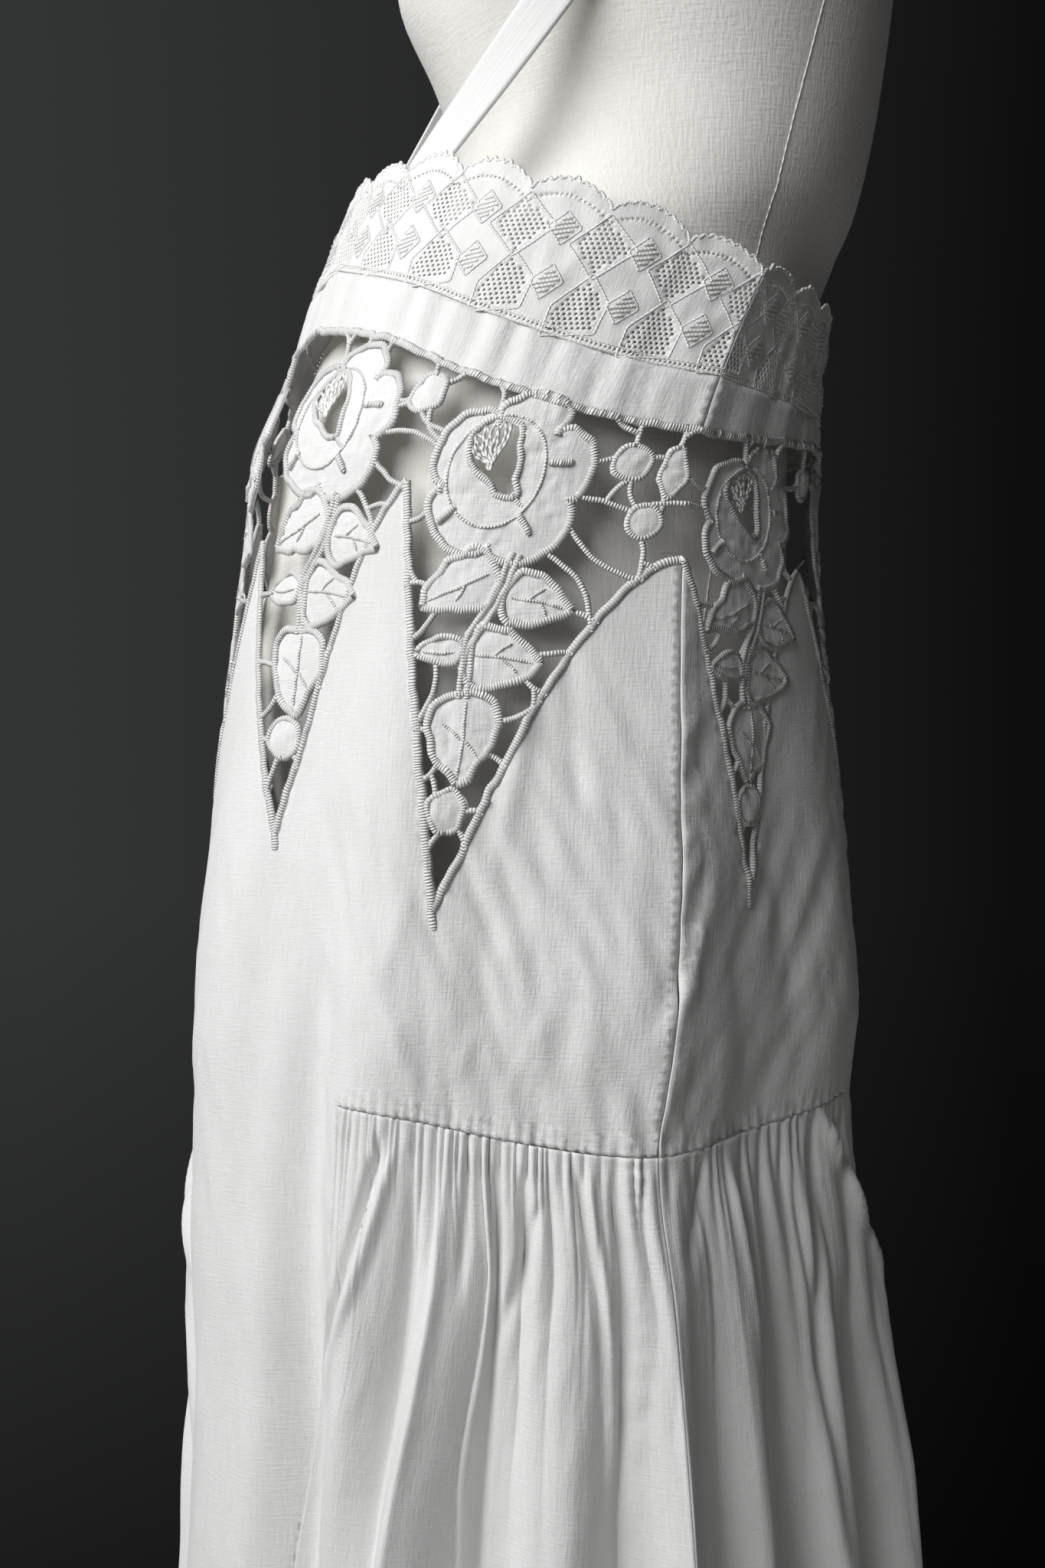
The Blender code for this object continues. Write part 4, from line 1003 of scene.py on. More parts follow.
def outwards(bm, centre_y=-0.04):
    """Turns every face away from the dress's middle."""
    bm.normal_update()
    wrong = [face for face in bm.faces
             if face.normal.dot(face.calc_center_median()
                                - Vector((0.0, centre_y, face.calc_center_median().z))) < 0]
    bmesh.ops.reverse_faces(bm, faces=wrong)


def puffed(layout, x, z):
    """How far a leaf, berry or petal swells and crumples at a flat place."""
    high = 0.0
    for name, ((mx, mz), length, width, turn, _) in layout["leaves"]:
        if abs(x - mx) < length and abs(z - mz) < length:
            c, s = math.cos(math.radians(turn)), math.sin(math.radians(turn))
            along, across = (x - mx) * c + (z - mz) * s, (z - mz) * c - (x - mx) * s
            away = (2 * along / length) ** 2 + (2 * across / width) ** 2
            if away < 1.0:
                high = max(high, (0.0009 if name.startswith("leaf") else 0.0016) * (1.0 - away) ** 0.7)
    for (mx, mz), radius, _, _, _ in layout["roses"]:
        away = math.hypot(x - mx, z - mz) / radius
        if away < 1.0:
            high = max(high, 0.0008 * math.sin(math.pi * min(away, 1.0)) ** 2 + 0.0001)
    if not high:
        return 0.0
    return high + 0.0016 * min(high / 0.0005, 1.0) * ridged(x * 170.0, z * 170.0, 5.0)


def panel(name, layout, girths, lowest, step, extra):
    """A panel of cloth with its cutwork, from the lace band down to the ruffle seam or the hem."""
    faces, eyes = layout["solids"], layout["eyes"]
    left, right = flat(girths[0], 0)[0], flat(girths[1], 0)[0]
    loose = [p for p in loose_points(faces + eyes, left, right, lowest, 1.075, step)
             if not puffed(layout, *p)]
    loose += [p for p in loose_points(faces + eyes, left, right, 0.76, 1.03, 0.0021) if puffed(layout, *p)]
    loose += extra
    points, triangles, covers = triangulate(faces + eyes, loose)
    kept = [t for t, c in zip(triangles, covers) if c and max(c) < len(faces)]
    bm = sheet_mesh(points, kept, lambda x, z: panel_point(x, z, puffed(layout, x, z)))
    outwards(bm)
    item = finished(name + "_cloth", bm, COTTON, "cotton", name)
    thicken(item, CLOTH_THICK)
    return item


def seam_rows(girths):
    """Close rows of points above a gathered seam, where the cloth is drawn into small puckers."""
    rows = []
    count = int((girths[1] - girths[0]) * METRES_PER_DEGREE / 0.0017)
    for k in range(count):
        girth = girths[0] + (girths[1] - girths[0]) * (k + 0.5) / count
        rows += [flat(girth, edge("ruffle_seam", girth) + up) for up in (0.0016, 0.0034, 0.0056, 0.0084)]
    return rows


def allowance_points():
    """Points along the folded allowance on the back panel, beside both side seams."""
    rows = []
    for k in range(70):
        z = 0.672 + 0.0036 * k
        for side in (1.0, 2.2, 3.3, 3.8, 4.3):
            rows += [flat(side, z), flat(180.0 - side, z)]
    return rows


def satin_bar(bm, rose, scale, over, across, up, turn, place):
    """A raised bar of satin stitch on a petal."""
    half = 0.0056 * scale
    turn = math.radians(180.0 - turn if over else turn)
    middle = Vector((rose[0] + scale * (-across if over else across), rose[1] + scale * up))
    run = Vector((math.cos(turn), math.sin(turn))) * half
    sewn_cord(bm, [middle - run, middle, middle + run], place, wide=0.0038, tall=0.0028, lift=0.0008,
              taper=0.0020)


def rose_stitches(bm, layout, rose, radius, petals, eye, over):
    """The cords of the petals, the fine inner oval, the satin bars and the open eye's cord and threads."""
    scale = radius / ROSE_RADIUS
    middle = Vector(rose)

    def on_petal(x, z, out):
        return panel_point(x, z, out + 0.0005)

    def on_cloth(x, z, out):
        return panel_point(x, z, puffed(layout, x, z) + out)

    for petal in petals:
        path = [Vector(p) + (middle - Vector(p)).normalized() * 0.0015 for p in petal]
        hook_in, hook_out = path[0].lerp(middle, 0.11), path[-1].lerp(middle, 0.05)
        lean = (path[1] - path[0]) * 0.9
        sewn_cord(bm, [hook_in + lean, *path, hook_out], on_petal, taper=0.0015)
    side = -1.0 if over else 1.0
    oval_middle = (rose[0] + side * scale * OVAL[0], rose[1] + scale * OVAL[1])
    oval = drop_outline(oval_middle, scale * OVAL[2], scale * OVAL[3], 90.0, 36, 0.0)
    sewn_cord(bm, oval, on_cloth, wide=0.0015, tall=0.0013, pitch=0.0016, closed=True, sides=5, lift=0.0005)
    for across, up, turn in SATIN:
        satin_bar(bm, rose, scale, over, across, up, turn, on_cloth)
    rim = drop(eye, 24)
    sewn_cord(bm, inset(rim, -0.0014), on_petal, wide=0.0038, tall=0.0032, closed=True)
    run = Vector((math.cos(math.radians(eye[3])), math.sin(math.radians(eye[3]))))
    tip = Vector(eye[0]) + run * eye[1] / 2
    tail = [tip - run * 0.001, tip + Vector((side * 0.0036, -0.0030)) * scale,
            tip + Vector((side * 0.0080, -0.0072)) * scale]
    sewn_cord(bm, tail, on_petal, wide=0.0034)
    over_run = Vector((-run.y, run.x))
    meet = middle + Vector((side * -0.0098, 0.0055)) * scale
    for start, reach, drift in FRAYS:
        a = Vector(rim[start])
        end = a.lerp(meet, 0.55 + 1.1 * reach) + over_run * drift * 0.35
        path = [a.lerp(end, t) + over_run * drift * math.sin(3.2 * t) for t in (0.0, 0.25, 0.5, 0.75, 1.0)]
        sewn_cord(bm, path, panel_point, wide=0.0018, tall=0.0013, pitch=0.0040, sides=4, groove=0.1,
                  lift=0.0009)


def cutwork_stitches(name, layout):
    """The buttonhole cords round every edge, the stems, the roses' lines and the leaves' veins."""
    bm = bmesh.new()

    def on_edge(x, z, out):
        return panel_point(x, z, out + 0.0005)

    def on_cloth(x, z, out):
        return panel_point(x, z, puffed(layout, x, z) + out)

    for path in layout["edges"]:
        sewn_cord(bm, path, panel_point, lift=0.0003)
    for motif_name, motif in layout["leaves"]:
        small = motif[1] < 0.025
        sewn_cord(bm, inset(drop(motif, 30), 0.0013), on_edge, wide=0.0036 if small else CORD_WIDE,
                  tall=0.0028, closed=True)
        for leaf, along, across, to_along, to_across in VEINS:
            if leaf == motif_name:
                (mx, mz), length, width, turn, _ = motif
                c, s = math.cos(math.radians(turn)), math.sin(math.radians(turn))
                ends = [(mx + length * a * c - width * b * s, mz + length * a * s + width * b * c)
                        for a, b in ((along, across), (to_along, to_across))]
                bend = Vector(ends[0]).lerp(Vector(ends[1]), 0.5) + Vector((-s, c)) * 0.0008
                sewn_cord(bm, [ends[0], bend, ends[1]], on_cloth, wide=0.0017, tall=0.0012, lift=0.0005,
                          sides=5, groove=0.4, taper=0.0030)
    for rose, radius, petals, eye, over in layout["roses"]:
        rose_stitches(bm, layout, rose, radius, petals, eye, over)
    for stem in layout["stems"]:
        smooth_stem = softened(resampled(stem, 0.004, False), False, 3)
        for side in (-0.0018, 0.0018):
            path = []
            for k, p in enumerate(smooth_stem):
                run = (smooth_stem[min(k + 1, len(smooth_stem) - 1)]
                       - smooth_stem[max(k - 1, 0)]).normalized()
                path.append(p + Vector((-run.y, run.x)) * side)
            sewn_cord(bm, path, on_edge, wide=0.0035, tall=0.0030)
    if name == "front_panel":
        hem = edge("ruffle_seam", -90) - RUFFLE_DROP + HEM_DEEP
        sewn_cord(bm, [flat(-71.0 - k, hem) for k in range(39)], panel_point, wide=0.0008, tall=0.0008,
                  pitch=0.0030, sides=4, lift=0.0004, groove=0.3)
    return finished(name + "_stitching", bm, THREAD, "cotton")


def cutwork_bars(name, layout):
    """The wound bars that hold the motifs in the gaps, some of them forked."""
    bm = bmesh.new()
    for start, stop, bow in layout["bars"]:
        wound_bar(bm, start, stop, bow, panel_point)
    return finished(name + "_bars", bm, THREAD, "cotton")


def ruffle_edge(z):
    """The girth of the front edge of the side ruffle, which swings forward towards the hem."""
    return RUFFLE_START - RUFFLE_SWEEP * smooth(0.02, 0.24, edge("ruffle_seam", RUFFLE_START) - z)


def front_outline():
    """The lower outline of the front panel, from its left side round the long middle to its right side."""
    seam = [-SEAM_HALF] + [RUFFLE_START * k / 84 for k in range(1, 84)] + [RUFFLE_START - 2 * SEAM_HALF]
    seam = [flat(g, edge("ruffle_seam", g)) for g in seam]
    hem_z = edge("ruffle_seam", -90) - RUFFLE_DROP
    start = edge("ruffle_seam", RUFFLE_START)
    side = [start - RUFFLE_DROP * k / 60 for k in range(2, 61)]
    side = [flat(ruffle_edge(z) - 2 * SEAM_HALF, z) for z in side]
    hem = [flat(g, hem_z) for g in (-72, -74, -76, -78, -80, -82, -84, -86, -88, -90)]
    half = seam + side + hem
    centre = flat(-90, 0)[0]
    return half + [(2 * centre - x, y) for x, y in half[-2::-1]]


def back_outline():
    girths = [180.0 - 180.0 * k / 280 for k in range(281)]
    girths = [min(max(g, SEAM_HALF), 180.0 - SEAM_HALF) for g in girths]
    return [flat(g, edge("ruffle_seam", g)) for g in girths]


# The lace band


def scallop_top(girth):
    """The scalloped upper edge with its small picots."""
    phase = girth / SCALLOP_TURN
    arch = abs(math.sin(math.pi * phase)) ** 0.62 - 1.0
    picot = abs(math.sin(math.pi * phase * PICOTS))
    ragged = 0.8 + 1.1 * noise.noise(Vector((girth * 0.9, 2.0, 5.0)))
    return edge("top", girth) + SCALLOP_DEPTH * arch + 0.0025 * ragged * picot


def band_place(girth, share):
    """A flat place in the band, by its share of the height from the seam to the scallops' crests."""
    low = edge("lace_bottom", girth)
    return flat(girth, low + (edge("top", girth) - low) * share)


def diamond(girth, share, half_wide, half_tall, lean=0.12):
    """Four corners of a diamond that leans a little with the cloth's grain."""
    x, z = band_place(girth, share)
    return [(x, z + half_tall), (x + half_wide, z - lean * half_wide), (x, z - half_tall),
            (x - half_wide, z + lean * half_wide)]


def inside(loop, x, z):
    crossed = False
    for k in range(len(loop)):
        ax, ay = loop[k - 1]
        bx, by = loop[k]
        if (ay > z) != (by > z) and x < (bx - ax) * (z - ay) / (by - ay) + ax:
            crossed = not crossed
    return crossed


NET_UPPER, NET_LOWER = 0.62, 0.22
RELIEF_UPPER, RELIEF_LOWER = 0.67, 0.30
NET_WIDE, NET_TALL = 0.0142, 0.0142
RELIEF_WIDE, RELIEF_TALL = 0.0078, 0.0082
HOLE_PITCH, HOLE_REACH = 0.0026, 0.00072


def band_layout(girth_from, girth_to):
    """Flat places of the band's net diamonds, relief diamonds, eyelets and hemstitch."""
    nets, reliefs, holes = [], [], []
    count = int(round((girth_to - girth_from) / SCALLOP_TURN))
    for k in range(count + 1):
        girth = girth_from + SCALLOP_TURN * k
        upper = diamond(girth, NET_UPPER, NET_WIDE, NET_TALL)
        x, z = band_place(girth, NET_LOWER)
        low_z = band_place(girth, 0.045)[1]
        lower = [(x, z + NET_TALL * 0.95), (x + NET_WIDE * 0.80, z + 0.0005), (x + NET_WIDE * 0.80, low_z),
                 (x - NET_WIDE * 0.80, low_z), (x - NET_WIDE * 0.80, z + 0.0005)]
        nets += [upper, lower]
    for k in range(count):
        girth = girth_from + SCALLOP_TURN * (k + 0.5)
        reliefs += [diamond(girth, share, RELIEF_WIDE, RELIEF_TALL) for share in (RELIEF_UPPER, RELIEF_LOWER)]
        arch = []
        for j in range(17):
            at = girth_from + SCALLOP_TURN * (k + (j + 0.5) / 17)
            lowered = 0.0098 + 0.0014 * math.sin(math.pi * (j + 0.5) / 17)
            arch.append(flat(at, edge("top", at) + SCALLOP_DEPTH
                             * (math.sin(math.pi * (j + 0.5) / 17) ** 0.8 - 1.0) - lowered + 0.0035))
        holes += [(x, z, 0.00062) for x, z in arch]
    steps = int((girth_to - girth_from) * METRES_PER_DEGREE / 0.0023)
    for k in range(steps):
        at = girth_from + (girth_to - girth_from) * (k + 0.5) / steps
        holes.append((*flat(at, edge("lace_bottom", at) + 0.0022), 0.00055))
    left, right = flat(girth_from, 0)[0] + 0.001, flat(girth_to, 0)[0] - 0.001
    for net in nets:
        low, high = min(p[1] for p in net), max(p[1] for p in net)
        near, far = min(p[0] for p in net), max(p[0] for p in net)
        rim = inset(net, 0.0013)
        rows = int((high - low) / (HOLE_PITCH * 0.87))
        for j in range(rows + 1):
            z = high - 0.0012 - j * HOLE_PITCH * 0.87
            for i in range(int((far - near) / HOLE_PITCH) + 2):
                x = near + (i + (0.5 if j % 2 else 0.0)) * HOLE_PITCH
                if left < x < right and inside([tuple(p) for p in rim], x, z):
                    holes.append((x, z, HOLE_REACH))
    return nets, reliefs, holes


def band(name, girth_from, girth_to):
    """The embroidered band as one sheet with all its eyelets cut."""
    nets, reliefs, holes = band_layout(girth_from, girth_to)
    left, right = girth_from + SEAM_HALF, girth_to - SEAM_HALF
    count = SCALLOPS * PICOTS * 6
    top = [flat(g, scallop_top(g)) for g in (left + (right - left) * k / count for k in range(count + 1))]
    bottom = [flat(g, edge("lace_bottom", g)) for g in (left + (right - left) * k / 200 for k in range(201))]
    outline = fine_edges(bottom + top[::-1])
    rings = [[(x + r * math.cos(math.tau * k / 6 + 0.3), z + r * math.sin(math.tau * k / 6 + 0.3))
              for k in range(6)]
             for x, z, r in holes]
    low, high = min(p[1] for p in bottom), max(p[1] for p in top)
    loose = loose_points([outline] + rings, flat(left, 0)[0], flat(right, 0)[0], low, high, 0.0021)
    points, triangles, covers = triangulate([outline] + rings, loose)
    kept = [t for t, c in zip(triangles, covers) if c == [0]]
    bm = sheet_mesh(points, kept, lambda x, z: lace_point(x, z, band_relief(x, z, reliefs)))
    outwards(bm)
    item = finished(name + "_cloth", bm, LACE_COTTON, "cotton", name)
    thicken(item, LACE_THICK)
    return item, nets, reliefs


def band_relief(x, z, reliefs):
    """Relief diamonds stand a little proud of the band."""
    for shape in reliefs:
        mx, mz = (shape[0][0] + shape[2][0]) / 2, (shape[0][1] + shape[2][1]) / 2
        away = abs(x - mx) / RELIEF_WIDE + abs(z - mz) / RELIEF_TALL
        if away < 1.4:
            return 0.0007 * smooth(1.4, 0.6, away)
    return 0.0


def band_embroidery(name, girth_from, girth_to, nets, reliefs):
    """Satin bars, the stitched frames of the diamonds and the sewn scallop edge."""
    bm = bmesh.new()
    left, right = flat(girth_from, 0)[0] + 0.001, flat(girth_to, 0)[0] - 0.001

    def on_band(x, z, out):
        return lace_point(min(max(x, left), right), z, out + 0.0004 + band_relief(x, z, reliefs))

    for shape in reliefs:
        mx, mz = (shape[0][0] + shape[2][0]) / 2, (shape[0][1] + shape[2][1]) / 2
        for k in range(-2, 3):
            reach = 0.0056 * (1.0 - abs(k) / 3.4)
            z = mz + k * 0.0022
            path = [(mx - reach, z - reach * 0.14), (mx, z), (mx + reach, z + reach * 0.14)]
            sewn_cord(bm, path, on_band, wide=0.0022, tall=0.0008, pitch=0.0016, sides=5, lift=0.0002,
                      groove=0.2, taper=0.0012)
        sewn_cord(bm, shape, on_band, wide=0.0014, tall=0.0004, pitch=0.0020, sides=4, closed=True,
                  groove=0.4)
    for shape in nets:
        sewn_cord(bm, inset(shape, -0.0014), on_band, wide=0.0014, tall=0.0004, pitch=0.0022, sides=4,
                  closed=True, groove=0.3)
    count = SCALLOPS * PICOTS * 6
    path = []
    for k in range(count + 1):
        girth = girth_from + SEAM_HALF + (girth_to - girth_from - 2 * SEAM_HALF) * k / count
        path.append(flat(girth, scallop_top(girth) - 0.0005))
    sewn_cord(bm, path, lace_point, wide=0.0020, tall=0.0018, pitch=0.0015, sides=5)
    for rise in (0.0006, 0.0036):
        path = []
        for k in range(161):
            girth = girth_from + SEAM_HALF + (girth_to - girth_from - 2 * SEAM_HALF) * k / 160
            path.append(flat(girth, edge("lace_bottom", girth) + rise))
        sewn_cord(bm, path, lambda x, z, out: lace_point(x, z, out + 0.0003), wide=0.0011, tall=0.0010,
                  pitch=0.0022, sides=4)
    return finished(name + "_embroidery", bm, LACE_THREAD, "cotton")


# The ruffles


def gather_phases(count, seed, shallow, deep, short, long):
    """Uneven places of the gathers along a seam, each with its depth and how far down it runs."""
    draw = random.Random(seed)
    marks, at = [0.0], 0.0
    for _ in range(count):
        at += 0.35 + 1.5 * draw.random() ** 1.6
        marks.append(at)
    marks = [mark / at for mark in marks]
    depths = [shallow + (deep - shallow) * draw.random() ** 1.3 for _ in marks]
    runs = [short * (0.6 + draw.random()) if draw.random() < 0.66 else long * (0.5 + draw.random())
            for _ in marks]
    return marks, depths, runs


def gather_rise(gathers, share, fall):
    marks, depths, runs = gathers
    share = min(max(share, 0.0), 1.0)
    k = max(bisect.bisect_left(marks, share, 1, len(marks) - 1) - 1, 0)
    t = (share - marks[k]) / (marks[k + 1] - marks[k])
    depth = depths[k] + (depths[k + 1] - depths[k]) * t
    run = runs[k] + (runs[k + 1] - runs[k]) * t
    wave = 2.0 * math.sin(math.pi * min(max(t, 0.0), 1.0)) ** 0.8 - 1.0
    hold = (0.45 + 0.55 * smooth(0.0, 0.012, fall)) * math.exp(-max(fall - 0.010, 0.0) / run)
    return depth * wave * hold


# Columns: from drop, to drop, share from, share to, wide, rise
BACK_LINES = (
    (0.003, 0.105, 0.359, 0.314, 0.010, -0.0055),
    (0.090, 0.210, 0.314, 0.322, 0.014, -0.0050),
    (0.004, 0.044, 0.093, 0.046, 0.010, -0.0038),
    (0.030, 0.140, 0.299, 0.308, 0.009, -0.0034),
    (0.005, 0.085, 0.380, 0.519, 0.012, 0.0048),
    (0.070, 0.215, 0.519, 0.506, 0.018, 0.0050),
    (0.010, 0.120, 0.150, 0.190, 0.010, 0.0036),
    (0.020, 0.200, 0.215, 0.230, 0.012, -0.0040),
    (0.006, 0.090, 0.640, 0.610, 0.012, -0.0042),
    (0.010, 0.160, 0.780, 0.800, 0.013, 0.0040),
    (0.008, 0.110, 0.890, 0.925, 0.012, -0.0040),
)
SIDE_LINES = (
    (0.012, 0.110, 0.163, 0.000, 0.014, -0.0050),
    (0.015, 0.120, 0.205, 0.045, 0.018, 0.0035),
    (0.010, 0.250, 0.375, 0.325, 0.018, 0.0030),
    (0.025, 0.315, 0.270, 0.295, 0.020, -0.0030),
    (0.010, 0.315, 0.540, 0.556, 0.013, -0.0055),
    (0.025, 0.085, 0.675, 0.560, 0.016, -0.0030),
    (0.008, 0.100, 0.780, 0.855, 0.012, -0.0042),
    (0.010, 0.140, 0.815, 0.880, 0.014, 0.0034),
    (0.012, 0.315, 0.895, 0.872, 0.012, -0.0040),
    (0.010, 0.070, 0.450, 0.430, 0.014, -0.0026),
    (0.012, 0.090, 0.620, 0.640, 0.014, -0.0022),
)


def line_rise(lines, share, fall):
    rise = 0.0
    for start, stop, share_from, share_to, wide, high in lines:
        t = (fall - start) / (stop - start)
        if -0.1 < t < 1.2:
            away = (share - share_from - (share_to - share_from) * t) / (wide * (1.0 + 0.6 * t))
            if abs(away) < 3.0:
                rise += high * smooth(-0.1, 0.15, t) * smooth(1.2, 0.7, t) * math.exp(-away * away)
    return rise


def ruffle(name, girth_from, girth_to, count, folds, lines, seed, follow=0, columns=236, rows=68):
    """A gathered ruffle: uneven gathers at its seam open into the broad folds at the hem."""
    deeper = 1.0 if follow else 1.35
    small = gather_phases(count, seed, 0.0004, 0.0027 * deeper, 0.010, 0.060)
    broad = gather_phases(count // 3, seed + 20, 0.0012, 0.0046 * deeper, 0.05, 0.17)
    bm = bmesh.new()
    layer = bm.verts.layers.float_vector.new("flat_place")
    wide = (girth_to - girth_from) / 54.0

    def fall_at(t):
        down = 1.0 - t
        return GAP + (RUFFLE_DROP - GAP) * (0.35 * down + 0.65 * down * down)

    def flat_at(s, t):
        return ((girth_from + (girth_to - girth_from) * s) * METRES_PER_DEGREE * 1.6, -fall_at(t))

    def spot(s, fall, out=0.0):
        z = edge("ruffle_seam", girth_from + (girth_to - girth_from) * s) - fall
        front = ruffle_edge(z)
        ends = {1: (front, -SEAM_HALF), -1: (SEAM_HALF - 180.0, -180.0 - front),
                0: (SEAM_HALF, 180.0 - SEAM_HALF)}[follow]
        across = {1: s, -1: 1.0 - s, 0: 1.0 - abs(2.0 * s - 1.0)}[follow]
        fold = column(folds, FOLD_LINE_COLUMNS, "rise", across)
        rise = fold * (smooth(0.0, 0.20, fall) + 0.3 * smooth(0.20, 0.31, fall))
        sway = noise.noise(Vector((s * 7.0 * wide, fall * 16.0, seed + 0.5)))
        drift = smooth(0.0, 0.07, fall) * 0.030 / wide * sway
        hold = smooth(0.0, 0.012, s) * smooth(1.0, 0.988, s)
        gathers = (gather_rise(small, s + drift, fall)
                   + smooth(0.004, 0.035, fall) * gather_rise(broad, s + drift, fall))
        rise += hold * (gathers + line_rise(lines, across, fall))
        if follow:
            strip = math.exp(-(((across - 0.935 + 0.10 * fall) / 0.022) ** 2)) * smooth(0.17, 0.12, fall)
            rise += hold * strip * (0.0007 + 0.0006 * math.sin(fall * 1000.0))
        rise += (0.0010 * ridged(s * 10.0 * wide, fall * 26.0, seed)
                 + 0.0005 * ridged(s * 26.0 * wide, fall * 50.0, seed))
        return dress_point(ends[0] + (ends[1] - ends[0]) * s, z, rise + out)

    mapped_grid(bm, columns, rows, lambda s, t: spot(s, fall_at(t)), layer, flat_at)
    lay_uv(bm, layer)
    outwards(bm)
    item = finished(name + "_cloth", bm, COTTON, "cotton", name)
    thicken(item, CLOTH_THICK)
    sewn = bmesh.new()
    steps = int(90 * wide)
    line = [((k + 0.5) / steps, RUFFLE_DROP - HEM_DEEP) for k in range(steps)]
    for a, b in zip(line[::2], line[1::2]):
        stitch = [Vector(a), Vector(b).lerp(Vector(a), 0.15)]
        hem_stitch(sewn, stitch, lambda s, fall: spot(s, fall, 0.0005))
    stitching = finished(name + "_hem_stitching", sewn, THREAD, "cotton")
    return item, stitching


def hem_stitch(bm, ends, place):
    """One straight stitch that lies on the cloth."""
    a, b = (place(p.x, p.y) for p in ends)
    run = (b - a).normalized()
    up = Vector((0.0, 0.0, 1.0))
    out = run.cross(up).normalized()
    corners = [a + up * 0.0004, a - up * 0.0004, b - up * 0.0004, b + up * 0.0004, (a + b) / 2 + out * 0.0005]
    if out.dot(Vector((a.x, a.y + 0.04, 0.0))) < 0.0:
        corners[4] = (a + b) / 2 - out * 0.0005
    bmesh.ops.convex_hull(bm, input=[bm.verts.new(corner) for corner in corners])


# The dress form


def form_point(turn, z, out=0.0):
    """A point on the form's cover, by degrees round from the wearer's left."""
    half_width, half_depth, mid_y, power = read(FORM_ROWS, FORM_LOW, FORM_STEP, z)
    c, s = math.cos(math.radians(turn)), math.sin(math.radians(turn))
    radius = ((abs(c) / half_width) ** power + (abs(s) / half_depth) ** power) ** (-1 / power)
    for middle in (-90 + BUST["turn"], -90 - BUST["turn"]):
        away = (turn - middle + 180) % 360 - 180
        radius += BUST["rise"] * math.exp(-((away / BUST["wide"]) ** 2)
                                          - ((z - BUST["z"]) / BUST["tall"]) ** 2)
    return Vector(((radius + out) * c, mid_y + (radius + out) * s, z))


def form_cover():
    """The form's closed cover, with a stitched line down each side seam."""
    bm = bmesh.new()
    low, high = FORM[0][0], FORM[-1][0]

    def place(s, t):
        return form_point(360.0 * s - 90.0, low + (high - low) * t)

    made = bmesh.ops.create_grid(bm, x_segments=168, y_segments=110, size=0.5)["verts"]
    for point in made:
        point.co = place(point.co.x + 0.5, point.co.y + 0.5)
    bmesh.ops.remove_doubles(bm, verts=bm.verts, dist=1e-6)
    bmesh.ops.holes_fill(bm, edges=[e for e in bm.edges if e.is_boundary], sides=0)
    bmesh.ops.recalc_face_normals(bm, faces=bm.faces)
    caps = [face for face in bm.faces if len(face.verts) > 8]
    for cap in caps:
        bmesh.ops.inset_region(bm, faces=[cap], thickness=0.002)
    item = finished("form_cover", bm, COVER, "linen_cover", "form_torso")
    sewn = bmesh.new()
    for side in (1, -1):
        path = []
        for k in range(57):
            z = 0.79 + 0.011 * k
            wanted = 0.0125 + 0.218 * (z - 1.065)
            low_turn, high_turn = -80.0, 80.0
            for _ in range(16):
                turn = (low_turn + high_turn) / 2
                if form_point(turn, z).y < wanted:
                    low_turn = turn
                else:
                    high_turn = turn
            path.append(((turn if side > 0 else 180.0 - turn) * FORM_SEAM_SCALE, z))
        sewn_cord(sewn, path, lambda x, z, out: form_point(x / FORM_SEAM_SCALE, z, out), wide=0.0010,
                  tall=0.0009, pitch=0.0050, sides=4, groove=0.8, lift=0.0001)
    finished("form_seams", sewn, THREAD, "linen_cover")
    return item


# The straps


def form_normal(turn, z):
    step_round = form_point(turn + 0.5, z) - form_point(turn - 0.5, z)
    step_up = form_point(turn, z + 0.002) - form_point(turn, z - 0.002)
    return step_round.cross(step_up).normalized()


def strap_foot(girth, z, clear):
    """A point of a strap's end, inside the lace band."""
    step_round = dress_point(girth + 1.0, z) - dress_point(girth - 1.0, z)
    step_up = dress_point(girth, z + 0.004) - dress_point(girth, z - 0.004)
    normal = step_round.cross(step_up).normalized()
    return dress_point(girth, z) - normal * (0.001 + GAP + clear + STRAP_THICK / 2), normal


def strap_path(front_foot, shift):
    """Points and outward directions of a strap, from the band's front over the shoulder to its back."""
    lift = STRAP_THICK / 2 + 0.0006
    over = [(k, *row) for k, row in enumerate(STRAP_LINE)]
    feet = ((1.082, 0.0008), (1.090, 0.0016), (1.098, 0.0040))
    path = [strap_foot(front_foot, z, clear) for z, clear in feet]
    for k in range(2 * len(over) - 1):
        turn = column(over, STRAP_COLUMNS, "turn", k / 2) + shift * (1 - smooth(0.0, 8.0, k / 2))
        z = column(over, STRAP_COLUMNS, "z", k / 2)
        normal = form_normal(turn, z)
        path.append((form_point(turn, z) + normal * lift, normal))
    return path + [strap_foot(70.0, z, 0.0008) for z in (1.046, 1.038, 1.030)]


